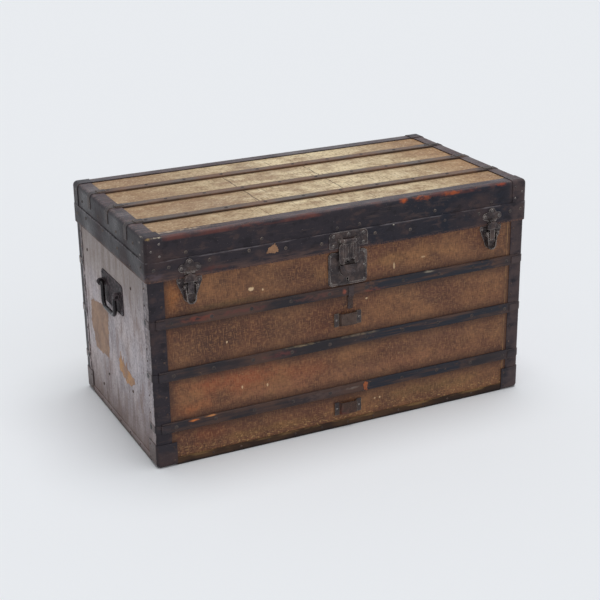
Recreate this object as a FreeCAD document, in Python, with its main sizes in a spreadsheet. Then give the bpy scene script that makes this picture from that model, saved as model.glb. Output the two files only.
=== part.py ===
import FreeCAD, Part
import Sketcher
import math
import os
import re

# A flat topped travelling trunk: boarded base and lid covered in canvas, fibre bindings, slats, a hasp lock,
# two draw bolts, two drop handles, two strap keepers and two stop hinges.
# Millimetres. Origin under the middle of the trunk, X to the right, Y to the back, Z up.

Vector = FreeCAD.Vector
Rotation = FreeCAD.Rotation
X_NORMAL = Vector(1, 0, 0)
Y_NORMAL = Vector(0, 1, 0)
Z_NORMAL = Vector(0, 0, 1)
TINY = 1e-4

SIZES = {
    # carcass
    "carcass_length": 856,
    "carcass_depth": 454,
    "seam_height": 398,
    "lid_rise": 85,
    "board": 12,
    "lid_board": 10,
    "base_edge_radius": 5,
    "lid_edge_radius": 5,
    "canvas": 1,
    "lining": 1,
    "overrun": 5,
    # rim lip that registers the lid
    "lip_thickness": 6,
    "lip_below": 28,
    "lip_above": 12,
    "lip_clearance": 2,
    "lip_edge": 1.5,
    # bindings of the base
    "binding": 1.5,
    "binding_leg": 30,
    "bottom_binding_height": 17,
    "joint_gap": 0.2,
    # metal corner caps
    "cap_thickness": 1.5,
    "cap_reach": 44,
    "cap_height": 52,
    "lid_cap_reach": 36,
    # lid trim
    "lid_binding": 2.5,
    "lid_binding_leg": 27,
    "band_height": 41,
    "band_thickness": 5,
    "band_edge": 1.5,
    # slats
    "slat_width": 22,
    "slat_thickness": 4.5,
    "slat_edge": 2,
    "slat_cap_gap": 23,
    "slat_lock_gap": 3,
    "slat_end_gap": 10,
    "top_slat_pitch": 117,
    "top_slat_end_gap": 15,
    # slat clamps
    "clamp_thickness": 1.2,
    "clamp_width": 15,
    "clamp_on_slat": 18,
    "clamp_leg": 32,
    # strap keepers
    "keeper_width": 60,
    "keeper_height": 26,
    "keeper_foot": 11,
    "keeper_rise": 7,
    "keeper_slope": 3,
    "keeper_metal": 1.8,
    "keeper_sink": 6.25,
    "keeper_binding_gap": 15,
    "keeper_cap": 9,
    "keeper_cap_metal": 1.2,
    # stop hinges
    "hinge_inset": 164,
    "hinge_width": 57,
    "hinge_radius": 4.5,
    "hinge_pin_radius": 2.5,
    "hinge_leaf": 1.5,
    "hinge_leaf_height": 34,
    "hinge_gap": 0.4,
    "hinge_crank": 7,
    "hinge_stop": 9,
    "hinge_stop_depth": 3,
    "hinge_corner": 5,
    "lid_opening_degrees": 100,
    # running clearances
    "pin_clearance": 0.05,
    "side_play": 0.4,
    # drop handles
    "handle_length": 134,
    "handle_height": 67,
    "handle_corner": 9,
    "handle_plate": 2,
    "handle_plate_edge": 0.8,
    "handle_drop": 93,
    "handle_pivot_rise": 8,
    "ear_wall": 2.5,
    "ear_width": 9,
    "ear_margin": 11,
    "bail_radius": 4.5,
    "bail_plate_gap": 3.5,
    "bail_ear_gap": 2,
    "bail_drop": 48,
    "bail_elbow_inside": 2.5,
    "bail_bend": 16,
    # lock plate, case and bolt
    "lock_width": 88,
    "lock_height": 72,
    "lock_top_gap": 3,
    "lock_plate": 3,
    "lock_field": 1,
    "lock_rim": 4,
    "lock_corner": 8,
    "boss_width": 40,
    "boss_margin": 17,
    "boss_hasp_gap": 2,
    "boss_rise": 7,
    "boss_edge": 3,
    "keyhole_radius": 2.2,
    "keyhole_drop": 6,
    "keyhole_slot": 2.2,
    "keyhole_below_boss": 4.5,
    "case_inset": 5,
    "case_depth": 9,
    "case_wall": 1,
    "bolt_drop": 16,
    "bolt_room": 2.1,
    "bolt_height": 4,
    "bolt_thickness": 3,
    "bolt_travel": 9,
    "bolt_notch": 6,
    "guide_length": 15,
    "guide_wall": 2,
    # hasp
    "hasp_plate_metal": 1.5,
    "hasp_plate_height": 34,
    "hasp_plate_corner": 10,
    "hasp_width": 46,
    "hasp_metal": 3,
    "hasp_pivot_rise": 22,
    "hasp_length": 50,
    "hasp_corner": 8,
    "hasp_shoulder_corner": 10,
    "hasp_stand": 1.2,
    "hasp_notch": 25,
    "hasp_notch_height": 10,
    "hasp_notch_corner": 5,
    "hasp_barrel_radius": 3.8,
    "hasp_pin_radius": 1.8,
    "hasp_barrel": 26,
    "flute_radius": 3,
    "flute_pitch": 6,
    "flute_margin": 5,
    "staple_width": 5,
    "staple_wall": 3.8,
    "staple_tip": 2,
    "staple_slack": 5,
    # draw bolts
    "latch_inset": 83,
    "latch_plate": 2,
    "latch_top_width": 52,
    "latch_foot_width": 28,
    "latch_shoulder": 8,
    "latch_height": 51,
    "latch_top_gap": 2,
    "latch_pivot_drop": 16,
    "latch_ear": 2.5,
    "latch_ear_radius": 4.5,
    "latch_stand": 6.5,
    "lever_pin_radius": 2,
    "lever_width": 25,
    "lever_foot_radius": 10,
    "lever_web": 2,
    "lever_rim": 2.2,
    "lever_rim_rise": 5,
    "lever_above": 4,
    "lever_length": 36,
    "link_drop": 15,
    "link_shank": 12,
    "link_metal": 2.4,
    "link_pin_radius": 1.3,
    "link_pin_depth": 1.6,
    "link_barrel_radius": 2.2,
    "dome_radius": 14,
    "dome_metal": 5,
    "dome_edge": 3,
    "dome_back": 1,
    "dome_drop": 4.5,
    "catch_metal": 1.5,
    "catch_lobe_radius": 8,
    "catch_lobe_place": 15,
    "catch_low": 8,
    "catch_tip": 30,
    "catch_lobe_height": 20,
    "lug_height": 3,
    "lug_width": 16,
    "lug_rise": 4.5,
    "lug_gap": 1,
}

doc = FreeCAD.newDocument("slatted_trunk")
sheet = doc.addObject("Spreadsheet::Sheet", "Sizes")
for row, (alias, value) in enumerate(SIZES.items(), start=1):
    sheet.set(f"A{row}", alias.replace("_", " "))
    sheet.set(f"B{row}", str(value))
    sheet.setAlias(f"B{row}", alias)
doc.recompute()


# Expressions are written with the bare aliases, and sized() points them at the sheet.

def sized(text):
    return re.sub(r"[a-z_]+", lambda word: f"Sizes.{word[0]}" if word[0] in SIZES else word[0], str(text))


def number(text):
    return float(sheet.evalExpression(sized(text)))


def bind(thing, place, text):
    thing.setExpression(place, sized(text))


def both(text):
    return f"-({text})", f"({text})"


# Solids from primitives and booleans

def box(name, x, y, z):
    solid = doc.addObject("Part::Box", name)
    for axis, side, (low, high) in zip("xyz", ("Length", "Width", "Height"), (x, y, z)):
        bind(solid, side, f"({high}) - ({low})")
        bind(solid, f"Placement.Base.{axis}", low)
    return solid


def cylinder(name, axis, place, radius, length):
    """A round bar that starts at place and runs along +X, +Y or +Z."""
    solid = doc.addObject("Part::Cylinder", name)
    turns = {"x": Rotation(Y_NORMAL, 90), "y": Rotation(X_NORMAL, -90), "z": Rotation()}
    solid.Placement = FreeCAD.Placement(Vector(), turns[axis])
    for letter, text in zip("xyz", place):
        bind(solid, f"Placement.Base.{letter}", text)
    bind(solid, "Radius", radius)
    bind(solid, "Height", length)
    return solid


def group(name, members):
    solid = doc.addObject("Part::Compound", name)
    solid.Links = members
    return solid


def cut(name, base, *tools):
    solid = doc.addObject("Part::Cut", name)
    solid.Base = base
    solid.Tool = tools[0] if len(tools) == 1 else group(f"{name}_tools", list(tools))
    return solid


def fuse(name, *members):
    solid = doc.addObject("Part::MultiFuse", name)
    solid.Shapes = list(members)
    solid.Refine = True
    return solid


def common(name, first, second):
    solid = doc.addObject("Part::Common", name)
    solid.Base = first
    solid.Tool = second
    return solid


def mirror(name, source, normal):
    solid = doc.addObject("Part::Mirroring", name)
    solid.Source = source
    solid.Normal = normal
    return solid


def left_and_right(name, side):
    """A piece of one side, and its mirror image on the other."""
    return group(name, [side, mirror(f"{name}_mirrored", side, X_NORMAL)])


def four_corners(name, corner):
    """A piece at one corner, and its three mirror images."""
    front = left_and_right(f"{name}_front", corner)
    return group(name, [front, mirror(f"{name}_back", front, Y_NORMAL)])


def all_round(name, front, end):
    """A strip of the front and one of an end, and their mirror images on the back and the other end."""
    back = mirror(f"{name}_back", front, Y_NORMAL)
    other_end = mirror(f"{name}_other_end", end, X_NORMAL)
    return group(name, [front, back, end, other_end])


# Bodies from sketches

def origin_plane(body, role):
    return next(plane for plane in body.Origin.OriginFeatures if plane.Role == role)


def sketch(body, name, role, offset, outline, closed=True):
    """Draw an outline of points (u, v), or (u, v, centre u, centre v, turn) for an arc that ends there."""
    drawing = body.newObject("Sketcher::SketchObject", name)
    drawing.AttachmentSupport = [(origin_plane(body, role), "")]
    drawing.MapMode = "FlatFace"
    bind(drawing, "AttachmentOffset.Base.z", offset)
    places = [Vector(number(point[0]), number(point[1]), 0) for point in outline]
    steps = range(len(outline)) if closed else range(1, len(outline))
    ends = {}
    for step in steps:
        start, stop = places[step - 1], places[step]
        if len(outline[step]) == 2:
            edge = drawing.addGeometry(Part.LineSegment(start, stop), False)
            ends[step] = (edge, 1, 2)
            continue
        centre = Vector(number(outline[step][2]), number(outline[step][3]), 0)
        circle = Part.Circle(centre, Z_NORMAL, centre.distanceToPoint(start))
        forward = outline[step][4] == "ccw"
        first, last = (start, stop) if forward else (stop, start)
        angles = [math.atan2(spot.y - centre.y, spot.x - centre.x) for spot in (first, last)]
        edge = drawing.addGeometry(Part.ArcOfCircle(circle, *angles), False)
        ends[step] = (edge, 1, 2) if forward else (edge, 2, 1)

    def drive(label, kind, edge, point, text):
        index = drawing.addConstraint(Sketcher.Constraint(kind, -1, 1, edge, point, number(text)))
        drawing.renameConstraint(index, label)
        bind(drawing, f"Constraints.{label}", text)

    for step in steps:
        edge, first, last = ends[step]
        after = (step + 1) % len(outline)
        if after in ends:
            drawing.addConstraint(Sketcher.Constraint("Coincident", edge, last, *ends[after][:2]))
        drive(f"u{step}", "DistanceX", edge, last, outline[step][0])
        drive(f"v{step}", "DistanceY", edge, last, outline[step][1])
        if len(outline[step]) > 2:
            chord = places[step] - places[step - 1]
            along_u = abs(chord.y) > abs(chord.x)
            kind, text = ("DistanceX", outline[step][2]) if along_u else ("DistanceY", outline[step][3])
            drive(f"c{step}", kind, edge, 3, text)
    if not closed:
        edge, first, last = ends[1]
        drive("u0", "DistanceX", edge, first, outline[0][0])
        drive("v0", "DistanceY", edge, first, outline[0][1])
    return drawing


def pad(body, name, role, offset, outline, depth, symmetric=False, reverse=False):
    feature = body.newObject("PartDesign::Pad", name)
    feature.Profile = sketch(body, f"{name}_outline", role, offset, outline)
    bind(feature, "Length", depth)
    feature.SideType = "Symmetric" if symmetric else "One side"
    feature.Reversed = reverse
    doc.recompute()
    return feature


def pocket(body, name, role, offset, outline, depth, reverse=False):
    before = body.Shape.Volume
    feature = body.newObject("PartDesign::Pocket", name)
    feature.Profile = sketch(body, f"{name}_outline", role, offset, outline)
    bind(feature, "Length", depth)
    feature.Reversed = reverse
    doc.recompute()
    if body.Shape.Volume >= before:
        raise RuntimeError(f"{name} cuts nothing")
    return feature


def round_edges(body, name, radius, wanted):
    """Round the edges of the body's last feature that wanted() accepts."""
    base = body.Tip
    chosen = [f"Edge{index}" for index, edge in enumerate(base.Shape.Edges, start=1) if wanted(edge)]
    if not chosen:
        raise RuntimeError(f"{name} finds no edge")
    feature = body.newObject("PartDesign::Fillet", name)
    feature.Base = (base, chosen)
    bind(feature, "Radius", radius)
    doc.recompute()
    return feature


def new_body(name):
    return doc.addObject("PartDesign::Body", name)


def runs_along(edge, axis):
    ends = [vertex.Point for vertex in edge.Vertexes]
    if len(ends) < 2:
        return False
    way = ends[1] - ends[0]
    return abs(abs(way.normalize().dot(axis)) - 1) < TINY


def lies_at(edge, axis, place):
    limits = [getattr(edge.BoundBox, axis.upper() + end) for end in ("Min", "Max")]
    return all(abs(limit - number(place)) < TINY for limit in limits)


nodes = {}


def node(name, solid):
    solid.Label = name
    nodes[name] = solid
    return solid


# Reference faces, as expressions

half_length = "(carcass_length / 2)"
half_depth = "(carcass_depth / 2)"
lid_top = "(seam_height + lid_rise)"
band_top = "(seam_height + band_height)"
base_binding_reach = "(canvas + binding)"
base_cap_reach = "(canvas + binding + cap_thickness)"
lid_binding_reach = "(canvas + lid_binding)"
lid_cap_face = "(canvas + lid_binding + cap_thickness)"
band_reach = "(canvas + band_thickness)"
base_face = f"({half_depth} + canvas)"
band_face = f"({half_depth} + {band_reach})"
end_face = f"({half_length} + canvas)"
cap_top_of_round = f"(base_edge_radius + {base_cap_reach})"
lock_high = "(seam_height - lock_top_gap)"
lock_low = f"({lock_high} - lock_height)"
hasp_pivot = "(seam_height + hasp_pivot_rise)"
hasp_low = f"({hasp_pivot} - hasp_length)"
bolt_mid = "(seam_height - bolt_drop)"
bolt_low = f"({bolt_mid} - bolt_height / 2)"
bolt_high = f"({bolt_mid} + bolt_height / 2)"
slat_lowest = "(cap_height + slat_cap_gap + slat_width / 2)"
slat_highest = f"({lock_low} - slat_lock_gap - slat_width / 2)"
slat_middle = f"(({slat_lowest} + {slat_highest}) / 2)"
slat_heights = (slat_lowest, slat_middle, slat_highest)
beyond_x = f"({half_length} + {band_reach} + overrun)"
beyond_y = f"({half_depth} + {band_reach} + overrun)"


def rounded_block(name, reach, low, high, radius, rounded_end=None, edge=None):
    """The carcass plan grown by reach, with round upright edges and, where asked, a round end."""
    body = new_body(name)
    x, y = f"({half_length} + {reach})", f"({half_depth} + {reach})"
    plan = [(f"-{x}", f"-{y}"), (x, f"-{y}"), (x, y), (f"-{x}", y)]
    pad(body, f"{name}_block", "XY_Plane", low, plan, f"({high}) - ({low})")
    if rounded_end and not edge:
        round_edges(body, f"{name}_round", radius,
                    lambda item: runs_along(item, Z_NORMAL) or lies_at(item, "z", rounded_end))
        return body
    round_edges(body, f"{name}_round", radius, lambda item: runs_along(item, Z_NORMAL))
    if edge:
        round_edges(body, f"{name}_edge", edge, lambda item: lies_at(item, "z", rounded_end))
    return body


# Base boards

wood_form = rounded_block("wood_form", "0", "0", "seam_height", "base_edge_radius")
cap_inner = rounded_block("cap_inner", base_binding_reach, "cap_thickness", "seam_height",
                          f"base_edge_radius + {base_binding_reach}", "cap_thickness")
cap_outer = rounded_block("cap_outer", base_cap_reach, "0", "seam_height",
                          f"base_edge_radius + {base_cap_reach}", "0")
cap_edge_x = f"({half_length} + {base_cap_reach} - cap_reach)"
cap_edge_y = f"({half_depth} + {base_cap_reach} - cap_reach)"
corner_cube = box("corner_cube", (f"-{beyond_x}", f"-{cap_edge_x}"), (f"-{beyond_y}", f"-{cap_edge_y}"),
                  ("-overrun", "cap_height"))
corner_cubes = four_corners("corner_cubes", corner_cube)

slab = box("slab", both(beyond_x), both(beyond_y), ("0", "board"))
corner_trim = cut("corner_trim", corner_cubes, cap_inner)
node("bottom_board", cut("bottom_board", common("bottom_slab", wood_form, slab), corner_trim))

wall_zone = box("wall_zone", both(beyond_x), (f"-{beyond_y}", f"-({half_depth} - board)"),
                ("board", "seam_height"))
front_wall = common("front_wall", wood_form, wall_zone)
node("back_board", mirror("back_board", front_wall, Y_NORMAL))
end_zone = box("end_zone", (f"-{beyond_x}", f"-({half_length} - board)"), both(f"{half_depth} - board"),
               ("board", "seam_height"))
left_end_board = common("left_end_board", wood_form, end_zone)
node("left_end_board", left_end_board)
node("right_end_board", mirror("right_end_board", left_end_board, X_NORMAL))

# Lock pocket in the front board and its canvas, open at the top where the staple of the hasp lifts out

case_low = f"({lock_low} + case_inset)"
case_high = f"({bolt_high} + joint_gap + guide_wall + case_wall)"
case_back = f"({base_face} - case_depth)"
slot_half = "(staple_width / 2 + side_play)"
bolt_start = f"({slot_half} + guide_wall)"
bolt_length = "(guide_length - guide_wall + bolt_travel)"
bolt_end = f"({bolt_start} + {bolt_length})"
case_half = f"({bolt_end} + bolt_room + case_wall)"
lock_pocket = box("lock_pocket", both(case_half), (f"-{beyond_y}", f"-{case_back}"), (case_low, case_high))
lock_channel = box("lock_channel", both(slot_half), (f"-{beyond_y}", f"-{case_back}"),
                   (case_high, "seam_height + overrun"))
node("front_board", cut("front_board", front_wall, lock_pocket, lock_channel))

# Canvas faces

canvas_z = ("bottom_binding_height", "seam_height")
front_sheet = box("front_sheet", both(f"{half_length} - base_edge_radius"),
                  (f"-{base_face}", f"-{half_depth}"), canvas_z)
node("front_canvas", cut("front_canvas", front_sheet, lock_pocket, lock_channel))
node("back_canvas", mirror("back_canvas", front_sheet, Y_NORMAL))
left_canvas = box("left_end_canvas", (f"-{end_face}", f"-{half_length}"),
                  both(f"{half_depth} - base_edge_radius"), canvas_z)
node("left_end_canvas", left_canvas)
node("right_end_canvas", mirror("right_end_canvas", left_canvas, X_NORMAL))

# Fibre bindings of the base

canvas_form = rounded_block("canvas_form", "canvas", "0", "seam_height", "base_edge_radius + canvas")
binding_form = rounded_block("binding_form", base_binding_reach, "0", "seam_height",
                             f"base_edge_radius + {base_binding_reach}")
binding_edge_x = f"({half_length} - binding_leg)"
binding_edge_y = f"({half_depth} - binding_leg)"
binding_column = box("binding_column", (f"-{beyond_x}", f"-{binding_edge_x}"),
                     (f"-{beyond_y}", f"-{binding_edge_y}"), (cap_top_of_round, "seam_height"))
binding_shell = cut("binding_shell", binding_form, canvas_form)
corner_binding = common("corner_binding", binding_shell, binding_column)
node("corner_bindings", four_corners("corner_bindings", corner_binding))


def edge_strip(name, role, face, run):
    """A bottom binding with a round lower edge, from the board out to the face of the other bindings."""
    body = new_body(name)
    outer = f"({face} + {base_binding_reach})"
    side = -1 if role == "YZ_Plane" else 1
    outline = [
        (f"{side} * {face}", "0", f"{side} * {face}", base_binding_reach, "ccw" if side < 0 else "cw"),
        (f"{side} * {face}", "bottom_binding_height"),
        (f"{side} * {outer}", "bottom_binding_height"),
        (f"{side} * {outer}", base_binding_reach),
    ]
    pad(body, f"{name}_pad", role, "0", outline, f"2 * ({run} - joint_gap)", symmetric=True)
    return body


front_strip = edge_strip("front_strip", "YZ_Plane", half_depth, cap_edge_x)
right_strip = edge_strip("right_strip", "XZ_Plane", half_length, cap_edge_y)
node("bottom_bindings", all_round("bottom_bindings", front_strip, right_strip))

# Metal caps on the bottom corners

cap_shell = cut("cap_shell", cap_outer, cap_inner)
node("bottom_corner_caps", common("bottom_corner_caps", cap_shell, corner_cubes))

# Lining and rim lips

inner_x = f"({half_length} - board)"
inner_y = f"({half_depth} - board)"
lip_low = "(seam_height - lip_below)"
lip_high = "(seam_height + lip_above)"
lining_outer = box("lining_outer", both(inner_x), both(inner_y), ("board", lip_low))
lining_inner = box("lining_inner", both(f"{inner_x} - lining"), both(f"{inner_y} - lining"),
                   ("board + lining", f"{lip_low} + overrun"))
node("base_lining", cut("base_lining", lining_outer, lining_inner))


def rim_lip(name, role, inner, run):
    """A strip inside the wall whose upper part stands clear of the lid and leads it on with a sloped top."""
    body = new_body(name)
    side = -1 if role == "YZ_Plane" else 1
    room = f"({inner} - lip_thickness)"
    free = f"({inner} - lip_clearance)"
    outline = [
        (f"{side} * {inner}", lip_low),
        (f"{side} * {inner}", "seam_height"),
        (f"{side} * {free}", "seam_height"),
        (f"{side} * {free}", f"{lip_high} - lip_edge"),
        (f"{side} * ({free} - lip_edge)", lip_high),
        (f"{side} * {room}", lip_high),
        (f"{side} * {room}", lip_low),
    ]
    pad(body, f"{name}_pad", role, "0", outline, f"2 * {run}", symmetric=True)
    return body


front_lip = rim_lip("front_lip", "YZ_Plane", inner_y, inner_x)
right_lip = rim_lip("right_lip", "XZ_Plane", inner_x, f"({inner_y} - lip_thickness)")
node("rim_lips", all_round("rim_lips", front_lip, right_lip))

# Lid boards

lid_form = rounded_block("lid_form", "0", "seam_height", lid_top, "lid_edge_radius", lid_top)
rail_top = f"({lid_top} - lid_board)"
lid_slab = box("lid_slab", both(beyond_x), both(beyond_y), (rail_top, f"{lid_top} + overrun"))
node("lid_top_board", common("lid_top_board", lid_form, lid_slab))
rail_zone = box("rail_zone", both(beyond_x), (f"-{beyond_y}", f"-{inner_y}"), ("seam_height", rail_top))
lid_front_rail = common("lid_front_rail", lid_form, rail_zone)
node("lid_front_rail", lid_front_rail)
node("lid_back_rail", mirror("lid_back_rail", lid_front_rail, Y_NORMAL))
lid_left_rail = box("lid_left_rail", (f"-{half_length}", f"-{inner_x}"), both(inner_y),
                    ("seam_height", rail_top))
node("lid_left_rail", lid_left_rail)
node("lid_right_rail", mirror("lid_right_rail", lid_left_rail, X_NORMAL))

# Lid canvas, lining, edge bindings, band and corner caps



def lid_layer(name, reach):
    """The lid's boards grown by the layers on them."""
    top = f"({lid_top} + {reach})"
    return rounded_block(name, reach, "seam_height", top, f"lid_edge_radius + {reach}", top)


lid_skin = lid_layer("lid_skin", "canvas")
node("lid_canvas", cut("lid_canvas", lid_skin, lid_form))
lid_lining_outer = box("lid_lining_outer", both(inner_x), both(inner_y),
                       (f"{lip_high} + lip_clearance", rail_top))
lid_lining_inner = box("lid_lining_inner", both(f"{inner_x} - lining"), both(f"{inner_y} - lining"),
                       ("seam_height", f"{rail_top} - lining"))
node("lid_lining", cut("lid_lining", lid_lining_outer, lid_lining_inner))

lid_bound = lid_layer("lid_bound", lid_binding_reach)
lid_capped = lid_layer("lid_capped", lid_cap_face)
lid_binding_shell = cut("lid_binding_shell", lid_bound, lid_skin)
lid_edge_x = f"({half_length} - lid_binding_leg)"
lid_edge_y = f"({half_depth} - lid_binding_leg)"
above_lid = f"({lid_top} + {band_reach} + overrun)"
front_edge_zone = box("front_edge_zone", both(beyond_x), (f"-{beyond_y}", f"-{lid_edge_y}"),
                      (band_top, above_lid))
left_edge_zone = box("left_edge_zone", (f"-{beyond_x}", f"-{lid_edge_x}"), both(f"{lid_edge_y} - joint_gap"),
                     (band_top, above_lid))
front_edge = common("front_edge", lid_binding_shell, front_edge_zone)
left_edge = common("left_edge", lid_binding_shell, left_edge_zone)
node("lid_edge_bindings", all_round("lid_edge_bindings", front_edge, left_edge))

band_form = rounded_block("band_form", band_reach, "seam_height", band_top, f"lid_edge_radius + {band_reach}",
                          band_top, "band_edge")
band_shell = cut("band_shell", band_form, lid_skin)
band_split = f"({half_depth} - lid_edge_radius)"
front_band_zone = box("front_band_zone", both(beyond_x), (f"-{beyond_y}", f"-{band_split}"),
                      ("seam_height", band_top))
left_band_zone = box("left_band_zone", (f"-{beyond_x}", f"-{half_length}"), both(f"{band_split} - joint_gap"),
                     ("seam_height", band_top))
front_band = common("front_band", band_shell, front_band_zone)
left_band = common("left_band", band_shell, left_band_zone)
node("lid_front_band", front_band)
node("lid_back_band", mirror("lid_back_band", front_band, Y_NORMAL))
node("lid_left_band", left_band)
node("lid_right_band", mirror("lid_right_band", left_band, X_NORMAL))

lid_cube = box("lid_cube",
               (f"-{beyond_x}", f"-({half_length} + {lid_cap_face} - lid_cap_reach)"),
               (f"-{beyond_y}", f"-({half_depth} + {lid_cap_face} - lid_cap_reach)"),
               (band_top, above_lid))
lid_cap_shell = cut("lid_cap_shell", lid_capped, lid_bound)
node("lid_corner_caps", common("lid_corner_caps", lid_cap_shell, four_corners("lid_cubes", lid_cube)))

# Slats: a strip with two rounded outer edges, let in at its ends over the bindings

def slat(name, inner, up, length):
    """A slat on the front, or on the lid where up is True, with length on each side of the middle."""
    body = new_body(f"{name}_strip")
    half = "(slat_width / 2)"
    outer = f"({inner} + slat_thickness)"
    shoulder = f"({outer} - slat_edge)"
    flat = f"({half} - slat_edge)"
    if up:
        outline = [
            (f"-{half}", inner), (half, inner), (half, shoulder),
            (flat, outer, flat, shoulder, "ccw"), (f"-{flat}", outer),
            (f"-{half}", shoulder, f"-{flat}", shoulder, "ccw"),
        ]
    else:
        outline = [
            (f"-{inner}", half), (f"-{inner}", f"-{half}"), (f"-{shoulder}", f"-{half}"),
            (f"-{outer}", f"-{flat}", f"-{shoulder}", f"-{flat}", "cw"), (f"-{outer}", flat),
            (f"-{shoulder}", half, f"-{shoulder}", flat, "cw"),
        ]
    pad(body, f"{name}_pad", "YZ_Plane", "0", outline, f"2 * {length}", symmetric=True)
    return body


slat_end = f"({half_length} - slat_end_gap)"
top_slat_end = f"({half_length} - top_slat_end_gap)"
lid_face = f"({lid_top} + canvas)"
front_slats = []
for name, height in zip(("front_slat_lower", "front_slat_middle", "front_slat_upper"), slat_heights):
    strip = slat(name, base_face, False, slat_end)
    bind(strip, "Placement.Base.z", height)
    recess = box(f"{name}_recess", (f"-{beyond_x}", f"-({binding_edge_x} - joint_gap)"),
                 (f"-({half_depth} + {base_binding_reach})", f"-{half_depth}"),
                 (f"{height} - slat_width", f"{height} + slat_width"))
    front_slats.append(node(name, cut(name, strip, recess, mirror(f"{name}_recess_right", recess, X_NORMAL))))
node("back_slats", group("back_slats", [mirror(f"back_{item.Name}", item, Y_NORMAL) for item in front_slats]))

top_slat_places = []
for index, name in zip((-1, 0, 1), ("top_slat_front", "top_slat_middle", "top_slat_back")):
    depth = f"({index} * top_slat_pitch)"
    strip = slat(name, lid_face, True, top_slat_end)
    bind(strip, "Placement.Base.y", depth)
    recess = box(f"{name}_recess", (f"-{beyond_x}", f"-({lid_edge_x} - joint_gap)"),
                 (f"{depth} - slat_width", f"{depth} + slat_width"),
                 (lid_top, f"{lid_top} + {lid_binding_reach}"))
    node(name, cut(name, strip, recess, mirror(f"{name}_recess_right", recess, X_NORMAL)))
    top_slat_places.append(depth)

# Slat clamps: a metal strap on the end of each slat that steps down and wraps the edge of the trunk

base_clamp_face = f"({base_binding_reach} + clamp_thickness)"
clamp_form = rounded_block("clamp_form", base_clamp_face, "0", "seam_height",
                           f"base_edge_radius + {base_clamp_face}")
clamp_shell = cut("clamp_shell", clamp_form, binding_form)
slat_face = f"({base_face} + slat_thickness)"
clamps = []
for index, height in enumerate(slat_heights):
    band_z = (f"{height} - clamp_width / 2", f"{height} + clamp_width / 2")
    wrap_zone = box(f"clamp_zone_{index}", (f"-{beyond_x}", f"-{slat_end}"),
                    (f"-{beyond_y}", f"-({half_depth} + {base_binding_reach} - clamp_leg)"), band_z)
    wrap = common(f"clamp_wrap_{index}", clamp_shell, wrap_zone)
    step = box(f"clamp_step_{index}", (f"-({slat_end} + clamp_thickness)", f"-{slat_end}"),
               (f"-({slat_face} + clamp_thickness)", f"-({half_depth} + {base_binding_reach})"), band_z)
    tongue = box(f"clamp_tongue_{index}",
                 (f"-({slat_end} + clamp_thickness)", f"-({slat_end} - clamp_on_slat)"),
                 (f"-({slat_face} + clamp_thickness)", f"-{slat_face}"), band_z)
    clamps.append(fuse(f"clamp_{index}", wrap, step, tongue))
node("base_slat_clamps", four_corners("base_slat_clamps", group("corner_clamps", clamps)))

lid_clamp_face = f"({lid_binding_reach} + clamp_thickness)"
lid_clamp_shell = cut("lid_clamp_shell", lid_layer("lid_clamp_form", lid_clamp_face), lid_bound)
top_slat_face = f"({lid_face} + slat_thickness)"
lid_bound_top = f"({lid_top} + {lid_binding_reach})"
lid_clamps = []
for index, depth in enumerate(top_slat_places):
    band_y = (f"{depth} - clamp_width / 2", f"{depth} + clamp_width / 2")
    wrap_zone = box(f"lid_clamp_zone_{index}", (f"-{beyond_x}", f"-{top_slat_end}"), band_y,
                    (f"{lid_bound_top} - clamp_leg", above_lid))
    wrap = common(f"lid_clamp_wrap_{index}", lid_clamp_shell, wrap_zone)
    step = box(f"lid_clamp_step_{index}", (f"-({top_slat_end} + clamp_thickness)", f"-{top_slat_end}"),
               band_y, (lid_bound_top, f"{top_slat_face} + clamp_thickness"))
    tongue = box(f"lid_clamp_tongue_{index}",
                 (f"-({top_slat_end} + clamp_thickness)", f"-({top_slat_end} - clamp_on_slat)"),
                 band_y, (top_slat_face, f"{top_slat_face} + clamp_thickness"))
    lid_clamps.append(fuse(f"lid_clamp_{index}", wrap, step, tongue))
node("lid_slat_clamps", left_and_right("lid_slat_clamps", group("left_lid_clamps", lid_clamps)))

# Strap keepers: a leather strip whose middle stands off the canvas, so that a strap passes behind it, and whose
# ends lie under iron caps

def keeper(name, height):
    body = new_body(name)
    end = "(keeper_width / 2)"
    rise_start = f"({end} - keeper_foot)"
    rise_end = f"({rise_start} - keeper_slope)"
    high = f"({base_face} + keeper_rise)"
    right = [
        (end, f"-{base_face}"),
        (end, f"-({base_face} + keeper_metal)"),
        (f"{rise_start} + keeper_metal", f"-({base_face} + keeper_metal)"),
        (f"{rise_end} + keeper_metal", f"-({high} + keeper_metal)"),
    ]
    inner = [(rise_start, f"-{base_face}"), (rise_end, f"-{high}")]
    outline = right + [(f"-({u})", v) for u, v in reversed(right)] + [(f"-({u})", v) for u, v in inner]
    outline += list(reversed(inner))
    pad(body, f"{name}_pad", "XY_Plane", f"{height} - keeper_height / 2", outline, "keeper_height")
    node(name, body)
    half = "(keeper_height / 2)"
    foot_face = f"({base_face} + keeper_metal)"
    blank = box(f"{name}_cap_blank", (f"{end} - keeper_cap", f"{end} + keeper_cap_metal"),
                (f"-({foot_face} + keeper_cap_metal)", f"-{base_face}"),
                (f"{height} - {half} - keeper_cap_metal", f"{height} + {half} + keeper_cap_metal"))
    foot_room = box(f"{name}_foot_room", (f"{end} - keeper_cap - overrun", end),
                    (f"-{foot_face}", f"-{base_face} + overrun"),
                    (f"{height} - {half}", f"{height} + {half}"))
    return left_and_right(f"{name}_caps", cut(f"{name}_cap", blank, foot_room))


upper_caps = keeper("strap_keeper_upper", f"(({slat_middle} + {slat_highest}) / 2 - keeper_sink)")
lower_caps = keeper("strap_keeper_lower", "(bottom_binding_height + keeper_binding_gap + keeper_height / 2)")
node("keeper_end_caps", group("keeper_end_caps", [upper_caps, lower_caps]))

# Stop hinges at the back: cranked base leaf with a stop ledge, flat lid leaf and a pin

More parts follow.
